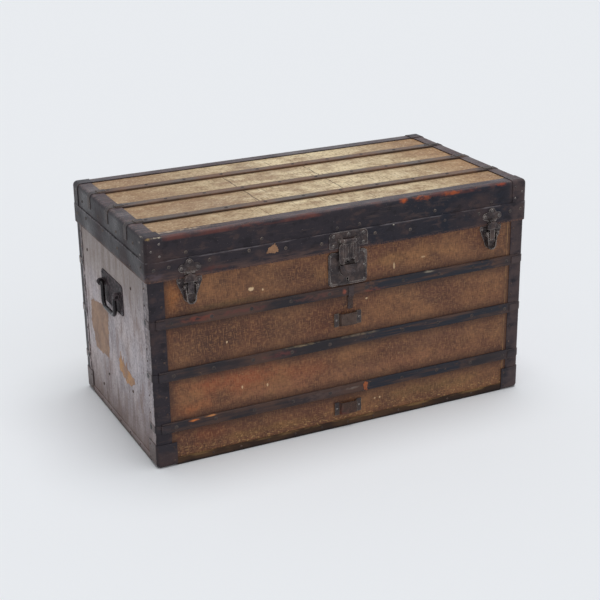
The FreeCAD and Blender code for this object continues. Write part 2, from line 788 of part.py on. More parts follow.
hinge_axis = f"({band_face} + hinge_gap + hinge_radius)"
hinge_place = f"({half_length} - hinge_inset)"
half_knuckle = "(hinge_width / 6)"
leaf_inner = f"({half_knuckle} - side_play / 2)"
leaf_outer = f"({half_knuckle} + side_play / 2)"
hinge_half = "(hinge_width / 2)"
knuckle_room = "(hinge_radius + side_play)"
bore_radius = "(hinge_pin_radius + pin_clearance)"
hinge_left = f"({hinge_place} - {hinge_half})"
hinge_right = f"({hinge_place} + {hinge_half})"
lid_leaf_low = f"(seam_height + {knuckle_room})"
lid_leaf_high = "(seam_height + hinge_leaf_height)"
tab_sides = (f"({hinge_place} - {leaf_inner})", f"({hinge_place} + {leaf_inner})")

lid_leaf_plate = new_body("lid_leaf_plate")
pad(lid_leaf_plate, "lid_leaf_pad", "XZ_Plane", "0", [
    (hinge_left, lid_leaf_low),
    (hinge_right, lid_leaf_low),
    (hinge_right, lid_leaf_high),
    (hinge_left, lid_leaf_high),
], "hinge_leaf", reverse=True)
round_edges(lid_leaf_plate, "lid_leaf_corners", "hinge_corner",
            lambda edge: runs_along(edge, Y_NORMAL) and lies_at(edge, "z", lid_leaf_high))
bind(lid_leaf_plate, "Placement.Base.y", band_face)
lid_leaf_tab = box("lid_leaf_tab", tab_sides,
                   (band_face, f"{band_face} + hinge_leaf"), ("seam_height", lid_leaf_low))
lid_knuckle = cylinder("lid_knuckle", "x", (tab_sides[0], hinge_axis, "seam_height"), "hinge_radius",
                       f"2 * {leaf_inner}")
hinge_bore = cylinder("hinge_bore", "x", (f"{hinge_left} - overrun", hinge_axis, "seam_height"), bore_radius,
                      "hinge_width + 2 * overrun")
lid_leaf = cut("lid_leaf", fuse("lid_leaf_blank", lid_leaf_plate, lid_leaf_tab, lid_knuckle), hinge_bore)
node("hinge_lid_leaves", left_and_right("hinge_lid_leaves", lid_leaf))

base_leaf_low = "(seam_height - hinge_leaf_height)"
crank_low = f"(seam_height - {knuckle_room} - hinge_crank)"
crank_high = f"(seam_height - {knuckle_room})"
base_leaf_strip = new_body("base_leaf_strip")
pad(base_leaf_strip, "base_leaf_pad", "YZ_Plane", hinge_left, [
    (base_face, base_leaf_low),
    (f"{base_face} + hinge_leaf", base_leaf_low),
    (f"{base_face} + hinge_leaf", f"{crank_low} - hinge_leaf / 2"),
    (f"{band_face} + hinge_leaf", f"{crank_high} - hinge_leaf / 2"),
    (f"{band_face} + hinge_leaf", "seam_height - joint_gap"),
    (band_face, "seam_height - joint_gap"),
    (band_face, crank_high),
    (base_face, crank_low),
], "hinge_width")
round_edges(base_leaf_strip, "base_leaf_corners", "hinge_corner",
            lambda edge: runs_along(edge, Y_NORMAL) and lies_at(edge, "z", base_leaf_low))

leaf_offset = f"({hinge_axis} - {band_face} - hinge_leaf)"


def stop_height(out):
    """Height above the hinge axis of the lid leaf's face when the lid is fully open, less a small play."""
    swing = "(lid_opening_degrees * 1 deg)"
    return f"(({out}) * cos({swing}) + {leaf_offset}) / sin({swing}) - joint_gap"


stop_root = "(hinge_radius / 2)"
stop_ledge = new_body("stop_ledge")
pad(stop_ledge, "stop_ledge_pad", "YZ_Plane", hinge_left, [
    (f"{hinge_axis} + {stop_root}", f"seam_height + {stop_height(stop_root)}"),
    (f"{hinge_axis} + {stop_root}", "seam_height - hinge_stop_depth"),
    (f"{hinge_axis} + hinge_stop", f"seam_height + {stop_height('hinge_stop')} - hinge_stop_depth / 2"),
    (f"{hinge_axis} + hinge_stop", f"seam_height + {stop_height('hinge_stop')}"),
], "hinge_width")
outer_knuckles = cylinder("outer_knuckles", "x", (hinge_left, hinge_axis, "seam_height"), "hinge_radius",
                          "hinge_width")
knuckle_window = box("knuckle_window", (f"{hinge_place} - {leaf_outer}", f"{hinge_place} + {leaf_outer}"),
                     (f"{band_face} - overrun", f"{hinge_axis} + hinge_stop + overrun"),
                     (crank_high, "seam_height + hinge_radius + overrun"))
base_leaf_blank = fuse("base_leaf_blank", base_leaf_strip, outer_knuckles, stop_ledge)
base_leaf = cut("base_leaf", base_leaf_blank, knuckle_window, hinge_bore)
node("hinge_base_leaves", left_and_right("hinge_base_leaves", base_leaf))
hinge_pin = cylinder("hinge_pin", "x", (hinge_left, hinge_axis, "seam_height"), "hinge_pin_radius",
                     "hinge_width")
node("hinge_pins", left_and_right("hinge_pins", hinge_pin))

# Drop handles on the ends

handle_centre = "(seam_height - handle_drop)"
handle_low = f"({handle_centre} - handle_height / 2)"
handle_high = f"({handle_centre} + handle_height / 2)"
handle_pivot = f"({handle_centre} + handle_pivot_rise)"
plate_face = f"({end_face} + handle_plate)"
handle_axis = f"({plate_face} + bail_plate_gap + bail_radius)"
bail_bore = "(bail_radius + pin_clearance)"
ear_radius = "(bail_radius + ear_wall)"
ear_outside = "(handle_length / 2 - ear_margin)"
ear_inside = f"({ear_outside} - ear_width)"
plate_body = new_body("handle_plate_body")
pad(plate_body, "handle_plate_pad", "YZ_Plane", end_face, [
    ("-handle_length / 2", handle_low),
    ("handle_length / 2", handle_low),
    ("handle_length / 2", handle_high),
    ("-handle_length / 2", handle_high),
], "handle_plate")
round_edges(plate_body, "handle_plate_corners", "handle_corner", lambda edge: runs_along(edge, X_NORMAL))
round_edges(plate_body, "handle_plate_rim", "handle_plate_edge", lambda edge: lies_at(edge, "x", plate_face))
ear_body = new_body("handle_ear")
pad(ear_body, "handle_ear_pad", "XZ_Plane", "0", [
    (plate_face, f"{handle_pivot} - {ear_radius}"),
    (handle_axis, f"{handle_pivot} - {ear_radius}"),
    (handle_axis, f"{handle_pivot} + {ear_radius}", handle_axis, handle_pivot, "ccw"),
    (plate_face, f"{handle_pivot} + {ear_radius}"),
], "ear_width", reverse=True)
bind(ear_body, "Placement.Base.y", ear_inside)
ear_bore = cylinder("ear_bore", "y", (handle_axis, f"-({ear_outside} + overrun)", handle_pivot), bail_bore,
                    f"2 * ({ear_outside} + overrun)")
handle_blank = fuse("handle_blank", plate_body, ear_body, mirror("handle_ear_front", ear_body, Y_NORMAL))
right_handle_plate = cut("right_handle_plate", handle_blank, ear_bore)
node("right_handle_plate", right_handle_plate)
node("left_handle_plate", mirror("left_handle_plate", right_handle_plate, X_NORMAL))

bail_end = f"({ear_outside} - joint_gap)"
bail_body = new_body("bail_body")
bail_elbow = "(bail_radius + bail_elbow_inside)"
arm_high = f"({handle_pivot} - {bail_elbow})"
bend_top = f"({handle_pivot} - bail_drop + bail_bend)"
bail_low = f"({handle_pivot} - bail_drop)"
elbow_start = f"({ear_inside} - bail_ear_gap)"
bail_arm = f"({elbow_start} - {bail_elbow})"
bend_end = f"({bail_arm} - bail_bend)"
bail_path = sketch(bail_body, "bail_path", "YZ_Plane", handle_axis, [
    (bail_end, handle_pivot),
    (elbow_start, handle_pivot),
    (bail_arm, arm_high, elbow_start, arm_high, "ccw"),
    (bail_arm, bend_top),
    (bend_end, bail_low, bend_end, bend_top, "cw"),
    (f"-{bend_end}", bail_low),
    (f"-{bail_arm}", bend_top, f"-{bend_end}", bend_top, "cw"),
    (f"-{bail_arm}", arm_high),
    (f"-{elbow_start}", handle_pivot, f"-{elbow_start}", arm_high, "ccw"),
    (f"-{bail_end}", handle_pivot),
], closed=False)
bail_section = bail_body.newObject("Sketcher::SketchObject", "bail_section")
bail_section.AttachmentSupport = [(origin_plane(bail_body, "XZ_Plane"), "")]
bail_section.MapMode = "FlatFace"
bind(bail_section, "AttachmentOffset.Base.z", f"-{bail_end}")
ring = bail_section.addGeometry(Part.Circle(Vector(number(handle_axis), number(handle_pivot), 0), Z_NORMAL,
                                            number("bail_radius")), False)
for label, kind, text in (("across", "DistanceX", handle_axis), ("up", "DistanceY", handle_pivot)):
    place = bail_section.addConstraint(Sketcher.Constraint(kind, -1, 1, ring, 3, number(text)))
    bail_section.renameConstraint(place, label)
    bind(bail_section, f"Constraints.{label}", text)
size = bail_section.addConstraint(Sketcher.Constraint("Radius", ring, number("bail_radius")))
bail_section.renameConstraint(size, "size")
bind(bail_section, "Constraints.size", "bail_radius")
doc.recompute()
bail_pipe = bail_body.newObject("PartDesign::AdditivePipe", "bail_pipe")
bail_pipe.Profile = bail_section
bail_pipe.Spine = (bail_path, [])
doc.recompute()
node("right_handle_bail", bail_body)
node("left_handle_bail", mirror("left_handle_bail", bail_body, X_NORMAL))

# Lock plate with its rim, boss, keyhole and the open slot for the staple

lock_front = f"({base_face} + lock_plate)"
field_front = f"({lock_front} - lock_field)"
boss_front = f"({field_front} + boss_rise)"
boss_half = "(boss_width / 2)"
boss_low = f"({lock_low} + boss_margin)"
boss_high = f"({hasp_low} - boss_hasp_gap)"
boss_centre = f"({boss_low} + {boss_half})"
staple_low = f"({bolt_low} - joint_gap - staple_wall)"
staple_high = f"({bolt_high} + joint_gap + staple_wall)"
slot_low = f"({staple_low} - staple_slack)"
lock_body = new_body("lock_plate_body")


def on_front(body, name, face, outline, depth, taking=False):
    """Add a layer outward from a plane on the front, or take one inward from it."""
    if taking:
        return pocket(body, name, "XZ_Plane", face, outline, depth)
    return pad(body, name, "XZ_Plane", face, outline, depth)


def rectangle(half_width, low, high):
    return [(f"-{half_width}", low), (half_width, low), (half_width, high), (f"-{half_width}", high)]


on_front(lock_body, "lock_sheet", base_face, rectangle("(lock_width / 2)", lock_low, lock_high), "lock_plate")
round_edges(lock_body, "lock_corners", "lock_corner", lambda edge: runs_along(edge, Y_NORMAL))
on_front(lock_body, "lock_hollow", lock_front,
         rectangle("(lock_width / 2 - lock_rim)", f"{lock_low} + lock_rim", f"{lock_high} - lock_rim"),
         "lock_field", True)
on_front(lock_body, "lock_boss", field_front, [
    (f"-{boss_half}", boss_high),
    (f"-{boss_half}", boss_centre),
    (boss_half, boss_centre, "0", boss_centre, "ccw"),
    (boss_half, boss_high),
], "boss_rise")
round_edges(lock_body, "boss_round", "boss_edge", lambda edge: lies_at(edge, "y", f"-{boss_front}"))
on_front(lock_body, "staple_slot", boss_front, rectangle(slot_half, slot_low, f"{lock_high} + overrun"),
         "lock_plate + boss_rise + overrun", True)
keyhole_centre = f"({boss_low} - keyhole_below_boss)"
keyhole_half = "(keyhole_slot / 2)"
keyhole_root = f"({keyhole_centre} - sqrt(keyhole_radius * keyhole_radius - {keyhole_half} * {keyhole_half}))"
on_front(lock_body, "keyhole", lock_front, [
    (f"-{keyhole_half}", keyhole_root, "0", keyhole_centre, "ccw"),
    (f"-{keyhole_half}", f"{keyhole_centre} - keyhole_drop"),
    (keyhole_half, f"{keyhole_centre} - keyhole_drop"),
    (keyhole_half, keyhole_root),
], "lock_plate + overrun", True)
node("lock_plate", lock_body)

# Lock case behind the plate, with a guide for the bolt

case_inner_back = f"({case_back} + case_wall)"
case_outer = box("case_outer", both(case_half), (f"-{base_face}", f"-{case_back}"), (case_low, case_high))
case_room = box("case_room", both(f"{case_half} - case_wall"),
                (f"-({base_face} + overrun)", f"-{case_inner_back}"),
                (f"{case_low} + case_wall", f"{case_high} - case_wall"))
case_slot = box("case_slot", both(slot_half), (f"-({base_face} + overrun)", f"-{case_inner_back}"),
                (f"{case_high} - case_wall - overrun", f"{case_high} + overrun"))
bolt_inner = f"({case_inner_back} + side_play + staple_tip + side_play)"
bolt_outer = f"({bolt_inner} + bolt_thickness)"
bolt_room_z = (f"{bolt_low} - joint_gap", f"{bolt_high} + joint_gap")
guide_start = f"({bolt_start} + guide_wall)"
guide_block = box("guide_block", (guide_start, f"{guide_start} + guide_length"),
                  (f"-{bolt_outer}", f"-{case_inner_back}"),
                  (f"{bolt_low} - joint_gap - guide_wall", f"{bolt_high} + joint_gap + guide_wall"))
guide_groove = box("guide_groove", (f"{guide_start} - overrun", f"{guide_start} + guide_length + overrun"),
                   (f"-({bolt_outer} + overrun)", f"-({bolt_inner} - joint_gap)"), bolt_room_z)
case_shell = cut("case_shell", case_outer, case_room, case_slot)
node("lock_case", fuse("lock_case", case_shell, cut("bolt_guide", guide_block, guide_groove)))

bolt_body = new_body("lock_bolt_body")
notch_middle = f"(({bolt_start} + {bolt_end}) / 2)"
notch_top = f"({bolt_low} + bolt_height / 3)"
pad(bolt_body, "lock_bolt_pad", "XZ_Plane", bolt_inner, [
    (bolt_start, bolt_low),
    (f"{notch_middle} - bolt_notch / 2", bolt_low),
    (f"{notch_middle} - bolt_notch / 2", notch_top),
    (f"{notch_middle} + bolt_notch / 2", notch_top),
    (f"{notch_middle} + bolt_notch / 2", bolt_low),
    (bolt_end, bolt_low),
    (bolt_end, bolt_high),
    (bolt_start, bolt_high),
], "bolt_thickness")
node("lock_bolt", bolt_body)

# Hasp plate on the lid band, and the fluted hasp with its staple

hasp_plate_front = f"({band_face} + hasp_plate_metal)"
hasp_axis = f"({hasp_plate_front} + joint_gap + hasp_barrel_radius)"
hasp_bore = "(hasp_pin_radius + pin_clearance)"
hasp_half = "(hasp_width / 2)"
barrel_half = "(hasp_barrel / 2)"
hasp_plate_high = f"({band_top} - joint_gap)"
hasp_plate_body = new_body("hasp_plate_body")
on_front(hasp_plate_body, "hasp_plate_sheet", band_face,
         rectangle("(lock_width / 2)", f"{hasp_plate_high} - hasp_plate_height", hasp_plate_high),
         "hasp_plate_metal")
round_edges(hasp_plate_body, "hasp_plate_corners", "hasp_plate_corner",
            lambda edge: runs_along(edge, Y_NORMAL) and lies_at(edge, "z", hasp_plate_high))
plate_knuckle = cylinder("plate_knuckle", "x", (f"{barrel_half} + side_play", f"-{hasp_axis}", hasp_pivot),
                         "hasp_barrel_radius", f"{hasp_half} - {barrel_half} - side_play")
knuckle_root = box("knuckle_root", (f"{barrel_half} + side_play", hasp_half),
                   (f"-{hasp_axis}", f"-{hasp_plate_front}"),
                   (hasp_pivot, f"{hasp_pivot} + hasp_barrel_radius"))
hasp_pin_bore = cylinder("hasp_pin_bore", "x", (f"-({hasp_half} + overrun)", f"-{hasp_axis}", hasp_pivot),
                         hasp_bore, "hasp_width + 2 * overrun")
hasp_plate_blank = fuse("hasp_plate_blank", hasp_plate_body, plate_knuckle, knuckle_root,
                        mirror("plate_knuckle_left", plate_knuckle, X_NORMAL),
                        mirror("knuckle_root_left", knuckle_root, X_NORMAL))
node("hasp_plate", cut("hasp_plate", hasp_plate_blank, hasp_pin_bore))
node("hasp_pin", cylinder("hasp_pin", "x", (f"-{hasp_half}", f"-{hasp_axis}", hasp_pivot), "hasp_pin_radius",
                          "hasp_width"))

hasp_back = f"({hasp_plate_front} + hasp_stand)"
hasp_front = f"({hasp_back} + hasp_metal)"
hasp_shoulder = f"({hasp_pivot} - hasp_barrel_radius - side_play)"
hasp_notch_half = "(hasp_notch / 2)"
hasp_notch_top = f"({hasp_low} + hasp_notch_height)"
hasp_body = new_body("hasp_body")
on_front(hasp_body, "hasp_sheet", hasp_back, [
    (f"-{hasp_half}", hasp_low),
    (f"-{hasp_notch_half}", hasp_low),
    (f"-{hasp_notch_half}", hasp_notch_top),
    (hasp_notch_half, hasp_notch_top),
    (hasp_notch_half, hasp_low),
    (hasp_half, hasp_low),
    (hasp_half, hasp_shoulder),
    (f"-{hasp_half}", hasp_shoulder),
], "hasp_metal")
round_edges(hasp_body, "hasp_corners", "hasp_corner",
            lambda edge: lies_at(edge, "z", hasp_low)
            and any(lies_at(edge, "x", side) for side in both(hasp_half)))
round_edges(hasp_body, "hasp_shoulders", "hasp_shoulder_corner",
            lambda edge: lies_at(edge, "z", hasp_shoulder)
            and any(lies_at(edge, "x", side) for side in both(hasp_half)))
round_edges(hasp_body, "hasp_notch_corners", "hasp_notch_corner",
            lambda edge: runs_along(edge, Y_NORMAL) and lies_at(edge, "z", hasp_notch_top))
flutes = []
flute_low = f"({hasp_notch_top} + flute_margin / 2)"
for place in (-2, -1, 0, 1, 2):
    flutes.append(cylinder(f"flute_{len(flutes)}", "z",
                           (f"{place} * flute_pitch", f"-{hasp_front} + flute_radius / 2", flute_low),
                           "flute_radius", f"{hasp_shoulder} - flute_margin / 2 - {flute_low}"))
flute_room = box("flute_room", both(hasp_half), (f"-({hasp_front} + flute_radius)", f"-{hasp_back}"),
                 (hasp_low, hasp_shoulder))
flute_bank = common("flute_bank", group("flutes", flutes), flute_room)
hasp_barrel = cylinder("hasp_barrel_solid", "x", (f"-{barrel_half}", f"-{hasp_axis}", hasp_pivot),
                       "hasp_barrel_radius", "hasp_barrel")
hasp_neck = box("hasp_neck", both(barrel_half), (f"-{hasp_front}", f"-{hasp_back}"),
                (f"{hasp_shoulder} - flute_margin", hasp_pivot))
staple_end = f"({bolt_inner} - joint_gap - staple_tip)"
staple_block = box("staple_block", both("staple_width / 2"), (f"-{hasp_back}", f"-{staple_end}"),
                   (staple_low, staple_high))
staple_eye = box("staple_eye", both("staple_width"),
                 (f"-({bolt_outer} + joint_gap)", f"-({bolt_inner} - joint_gap)"), bolt_room_z)
hasp_blank = fuse("hasp_blank", hasp_body, flute_bank, hasp_barrel, hasp_neck,
                  cut("staple", staple_block, staple_eye))
node("hasp", cut("hasp", hasp_blank, hasp_pin_bore))

# Draw bolts. The left one is modelled about its own middle and moved out, the right one is its mirror image.

latch_face = f"({base_face} + latch_plate)"
latch_high = "(seam_height - latch_top_gap)"
latch_low = f"({latch_high} - latch_height)"
latch_pivot = f"({latch_high} - latch_pivot_drop)"
latch_axis = f"({latch_face} + latch_stand)"
lever_half = "(lever_width / 2)"
latch_bore = "(lever_pin_radius + pin_clearance)"
ear_in = f"({lever_half} + side_play)"
ear_out = f"({ear_in} + latch_ear)"
foot_half = "(latch_foot_width / 2)"

latch_body = new_body("latch_plate_body")
on_front(latch_body, "latch_shield", base_face, [
    ("-latch_top_width / 2", latch_high),
    ("-latch_top_width / 2", f"{latch_high} - latch_shoulder"),
    (f"-{foot_half}", f"{latch_low} + {foot_half}"),
    (foot_half, f"{latch_low} + {foot_half}", "0", f"{latch_low} + {foot_half}", "ccw"),
    ("latch_top_width / 2", f"{latch_high} - latch_shoulder"),
    ("latch_top_width / 2", latch_high),
], "latch_plate")
latch_ear_body = new_body("latch_ear_body")
pad(latch_ear_body, "latch_ear_pad", "YZ_Plane", ear_in, [
    (f"-{latch_face}", f"{latch_pivot} + latch_ear_radius"),
    (f"-{latch_axis}", f"{latch_pivot} + latch_ear_radius"),
    (f"-{latch_axis}", f"{latch_pivot} - latch_ear_radius", f"-{latch_axis}", latch_pivot, "ccw"),
    (f"-{latch_face}", f"{latch_pivot} - latch_ear_radius"),
], "latch_ear")
latch_pin_bore = cylinder("latch_pin_bore", "x", (f"-({ear_out} + overrun)", f"-{latch_axis}", latch_pivot),
                          latch_bore, f"2 * ({ear_out} + overrun)")
latch_blank = fuse("latch_blank", latch_body, latch_ear_body,
                   mirror("latch_ear_left", latch_ear_body, X_NORMAL))
latch_plate = cut("latch_plate_solid", latch_blank, latch_pin_bore)

# Lever: a tapered tray with a round foot, side trunnions in the ears and holes for those of the link

lever_back = f"({latch_axis} - lever_web - lever_rim_rise / 2)"
lever_front = f"({lever_back} + lever_web + lever_rim_rise)"
lever_floor = f"({lever_back} + lever_web)"
lever_high = f"({latch_pivot} + lever_above)"
foot_centre = f"({latch_pivot} - lever_length + lever_foot_radius)"


def tray(inset, high):
    """The lever's outline, drawn in by inset."""
    top = f"({lever_half} - {inset})"
    foot = f"(lever_foot_radius - {inset})"
    return [
        (f"-{top}", high),
        (f"-{top}", latch_pivot),
        (f"-{foot}", foot_centre),
        (foot, foot_centre, "0", foot_centre, "ccw"),
        (top, latch_pivot),
        (top, high),
    ]


lever_body = new_body("lever_body")
on_front(lever_body, "lever_tray", lever_back, tray("0", lever_high), "lever_web + lever_rim_rise")
on_front(lever_body, "lever_hollow", lever_front, tray("lever_rim", f"{lever_high} + overrun"),
         "lever_rim_rise", True)
link_pivot = f"({latch_pivot} - link_drop)"
link_axis = f"({lever_floor} + joint_gap + link_barrel_radius)"
trunnion_length = f"({ear_out} - {lever_half} + lever_rim / 2)"
trunnion = cylinder("lever_trunnion", "x", (f"{lever_half} - lever_rim / 2", f"-{latch_axis}", latch_pivot),
                    "lever_pin_radius", trunnion_length)
lever_blank = fuse("lever_blank", lever_body, trunnion, mirror("lever_trunnion_left", trunnion, X_NORMAL))
link_bore = cylinder("link_bore", "x", (f"-({lever_half} + overrun)", f"-{link_axis}", link_pivot),
                     "link_pin_radius + pin_clearance", "lever_width + 2 * overrun")
lever_solid = cut("lever_solid", lever_blank, link_bore)

# Link: a shank inside the tray, with a domed head in front of the seam

link_half = "(link_shank / 2)"
link_back = f"({link_axis} - link_metal / 2)"
lever_taper = f"({lever_half} - lever_foot_radius) * link_drop / (lever_length - lever_foot_radius)"
link_pin_reach = f"({lever_half} - {lever_taper} - lever_rim + link_pin_depth)"
link_body = new_body("link_body")
dome_centre = "(seam_height - dome_drop)"
on_front(link_body, "link_strip", link_back,
         rectangle(link_half, link_pivot, f"{dome_centre} + dome_radius / 2"), "link_metal")
dome_body = new_body("dome_body")
dome_inner = f"({band_face} + catch_metal + dome_back)"
on_front(dome_body, "dome_disc", dome_inner, [
    ("-dome_radius", dome_centre, "0", dome_centre, "ccw"),
    ("-dome_radius", f"{dome_centre} - dome_edge"),
    ("dome_radius", f"{dome_centre} - dome_edge"),
    ("dome_radius", dome_centre),
], "dome_metal")
round_edges(dome_body, "dome_round", "dome_edge",
            lambda edge: lies_at(edge, "y", f"-({dome_inner} + dome_metal)")
            and edge.BoundBox.ZMax > number(dome_centre))
link_barrel = cylinder("link_barrel", "x", (f"-{link_half}", f"-{link_axis}", link_pivot),
                       "link_barrel_radius", "link_shank")
link_pin = cylinder("link_pin", "x", (f"-{link_pin_reach}", f"-{link_axis}", link_pivot), "link_pin_radius",
                    f"2 * {link_pin_reach}")
link_solid = fuse("link_solid", link_body, dome_body, link_barrel, link_pin)

# Catch on the lid band: three riveted lobes and a lug for the link

catch_low_edge = "(seam_height + catch_low)"
lobe_level = "(seam_height + catch_lobe_height)"
tip_level = "(seam_height + catch_tip)"
catch_front = f"({band_face} + catch_metal)"


def lobe(name, across, level):
    return cylinder(name, "y", (across, f"-{catch_front}", level), "catch_lobe_radius", "catch_metal")


catch_field = box("catch_field", both("catch_lobe_place - catch_lobe_radius / 2"),
                  (f"-{catch_front}", f"-{band_face}"), (catch_low_edge, tip_level))
lug_low = f"({dome_centre} + dome_radius + lug_gap)"
catch_lug = box("catch_lug", both("lug_width / 2"), (f"-({catch_front} + lug_rise)", f"-{catch_front}"),
                (lug_low, f"{lug_low} + lug_height"))
catch_solid = fuse("catch_solid", catch_field, catch_lug, lobe("lobe_left", "-catch_lobe_place", lobe_level),
                   lobe("lobe_right", "catch_lobe_place", lobe_level), lobe("lobe_tip", "0", tip_level))


def both_sides(name, solid):
    """Set a draw bolt piece at the left place, and mirror it to the right."""
    left = group(f"left_{name}", [solid])
    bind(left, "Placement.Base.x", f"latch_inset - {half_length}")
    return left, mirror(f"right_{name}", left, X_NORMAL)


for name, solid in (("latch_plate", latch_plate), ("latch_lever", lever_solid), ("latch_link", link_solid),
                    ("latch_catch", catch_solid)):
    for copy in both_sides(name, solid):
        node(copy.Name, copy)

# Checks and files

doc.recompute()
for item in doc.Objects:
    if "Invalid" in item.State or "Error" in item.State:
        raise RuntimeError(f"{item.Name} failed")
for name, solid in nodes.items():
    if solid.Shape.isNull() or not solid.Shape.isValid() or not solid.Shape.Solids:
        raise RuntimeError(f"{name} has no valid solid")

os.makedirs("parts", exist_ok=True)
for name, solid in nodes.items():
    solid.Shape.exportStep(f"parts/{name}.step")
print(len(nodes), "nodes,", sum(len(solid.Shape.Solids) for solid in nodes.values()), "solids")
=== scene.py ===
# %% [markdown]
# # A slatted travelling trunk
# The trunk is a boarded box under painted canvas, with fibre bindings, wooden slats and black iron fittings.
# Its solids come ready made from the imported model. Blender only adds what such solids leave out: the finish
# of each surface, and small things such as nail heads, torn paper and strap ends.

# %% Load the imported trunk
import math

import bpy
from mathutils import Matrix, Vector


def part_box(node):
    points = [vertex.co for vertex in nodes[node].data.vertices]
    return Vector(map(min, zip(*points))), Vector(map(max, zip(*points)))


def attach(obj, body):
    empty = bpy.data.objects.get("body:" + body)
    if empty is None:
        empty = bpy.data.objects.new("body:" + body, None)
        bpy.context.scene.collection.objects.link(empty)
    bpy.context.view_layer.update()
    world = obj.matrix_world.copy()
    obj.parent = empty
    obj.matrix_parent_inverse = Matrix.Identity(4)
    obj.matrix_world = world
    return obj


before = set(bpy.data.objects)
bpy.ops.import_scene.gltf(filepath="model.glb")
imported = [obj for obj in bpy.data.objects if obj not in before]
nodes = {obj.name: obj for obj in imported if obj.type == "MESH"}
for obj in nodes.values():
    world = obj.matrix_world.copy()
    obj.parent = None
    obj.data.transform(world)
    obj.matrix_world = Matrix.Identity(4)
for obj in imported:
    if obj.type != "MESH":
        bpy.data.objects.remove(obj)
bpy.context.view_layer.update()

# %% [markdown]
# ## The camera
# The camera was fitted to the corners of the box, so its place, its direction and its small roll are known.
# A tracking constraint would also aim it, but a quaternion from the viewing direction is shorter, and the
# roll is one more turn about the camera's own axis.

# %% Camera
EYE = Vector((-1.2060, -2.5296, 1.2863))
GAZE = Vector((0.40188, 0.84252, -0.35867))
ROLL = math.radians(-0.902)
LENS = 80.88

lens = bpy.data.cameras.new("photo_view")
lens.lens = LENS
camera = bpy.data.objects.new("photo_view", lens)
bpy.context.collection.objects.link(camera)
camera.rotation_mode = "QUATERNION"
camera.location = EYE
camera.rotation_quaternion = GAZE.to_track_quat("-Z", "Y") @ Matrix.Rotation(ROLL, 3, "Z").to_quaternion()
bpy.context.scene.camera = camera
print("camera at", tuple(round(v, 3) for v in camera.location))

# %% [markdown]
# ## Writing finishes
# A finish here is a tree of shader nodes. Wiring them by hand is slow to read, so this small class adds
# nodes by calls and hands back the socket with the result. All patterns are measured in metres on the object
# itself, so they stay in place when the lid or a lever moves. Most finishes are coats over a ground: a noise
# decides where each coat lies.

# %% A class for finishes
def tone(red, green, blue):
    """A colour as it is seen on a screen, 0 to 255, turned into the linear values that shaders use."""
    shares = [value / 255 for value in (red, green, blue)]
    return (*(s / 12.92 if s <= 0.04045 else ((s + 0.055) / 1.055) ** 2.4 for s in shares), 1)


def put(tree, kind, inputs, **settings):
    """Add a node to a tree, with a value or a link for each of the inputs that are given."""
    node = tree.nodes.new(kind)
    for setting, value in settings.items():
        setattr(node, setting, value)
    for socket, value in inputs.items():
        if isinstance(value, bpy.types.NodeSocket):
            tree.links.new(value, node.inputs[socket])
        else:
            node.inputs[socket].default_value = value
    return node


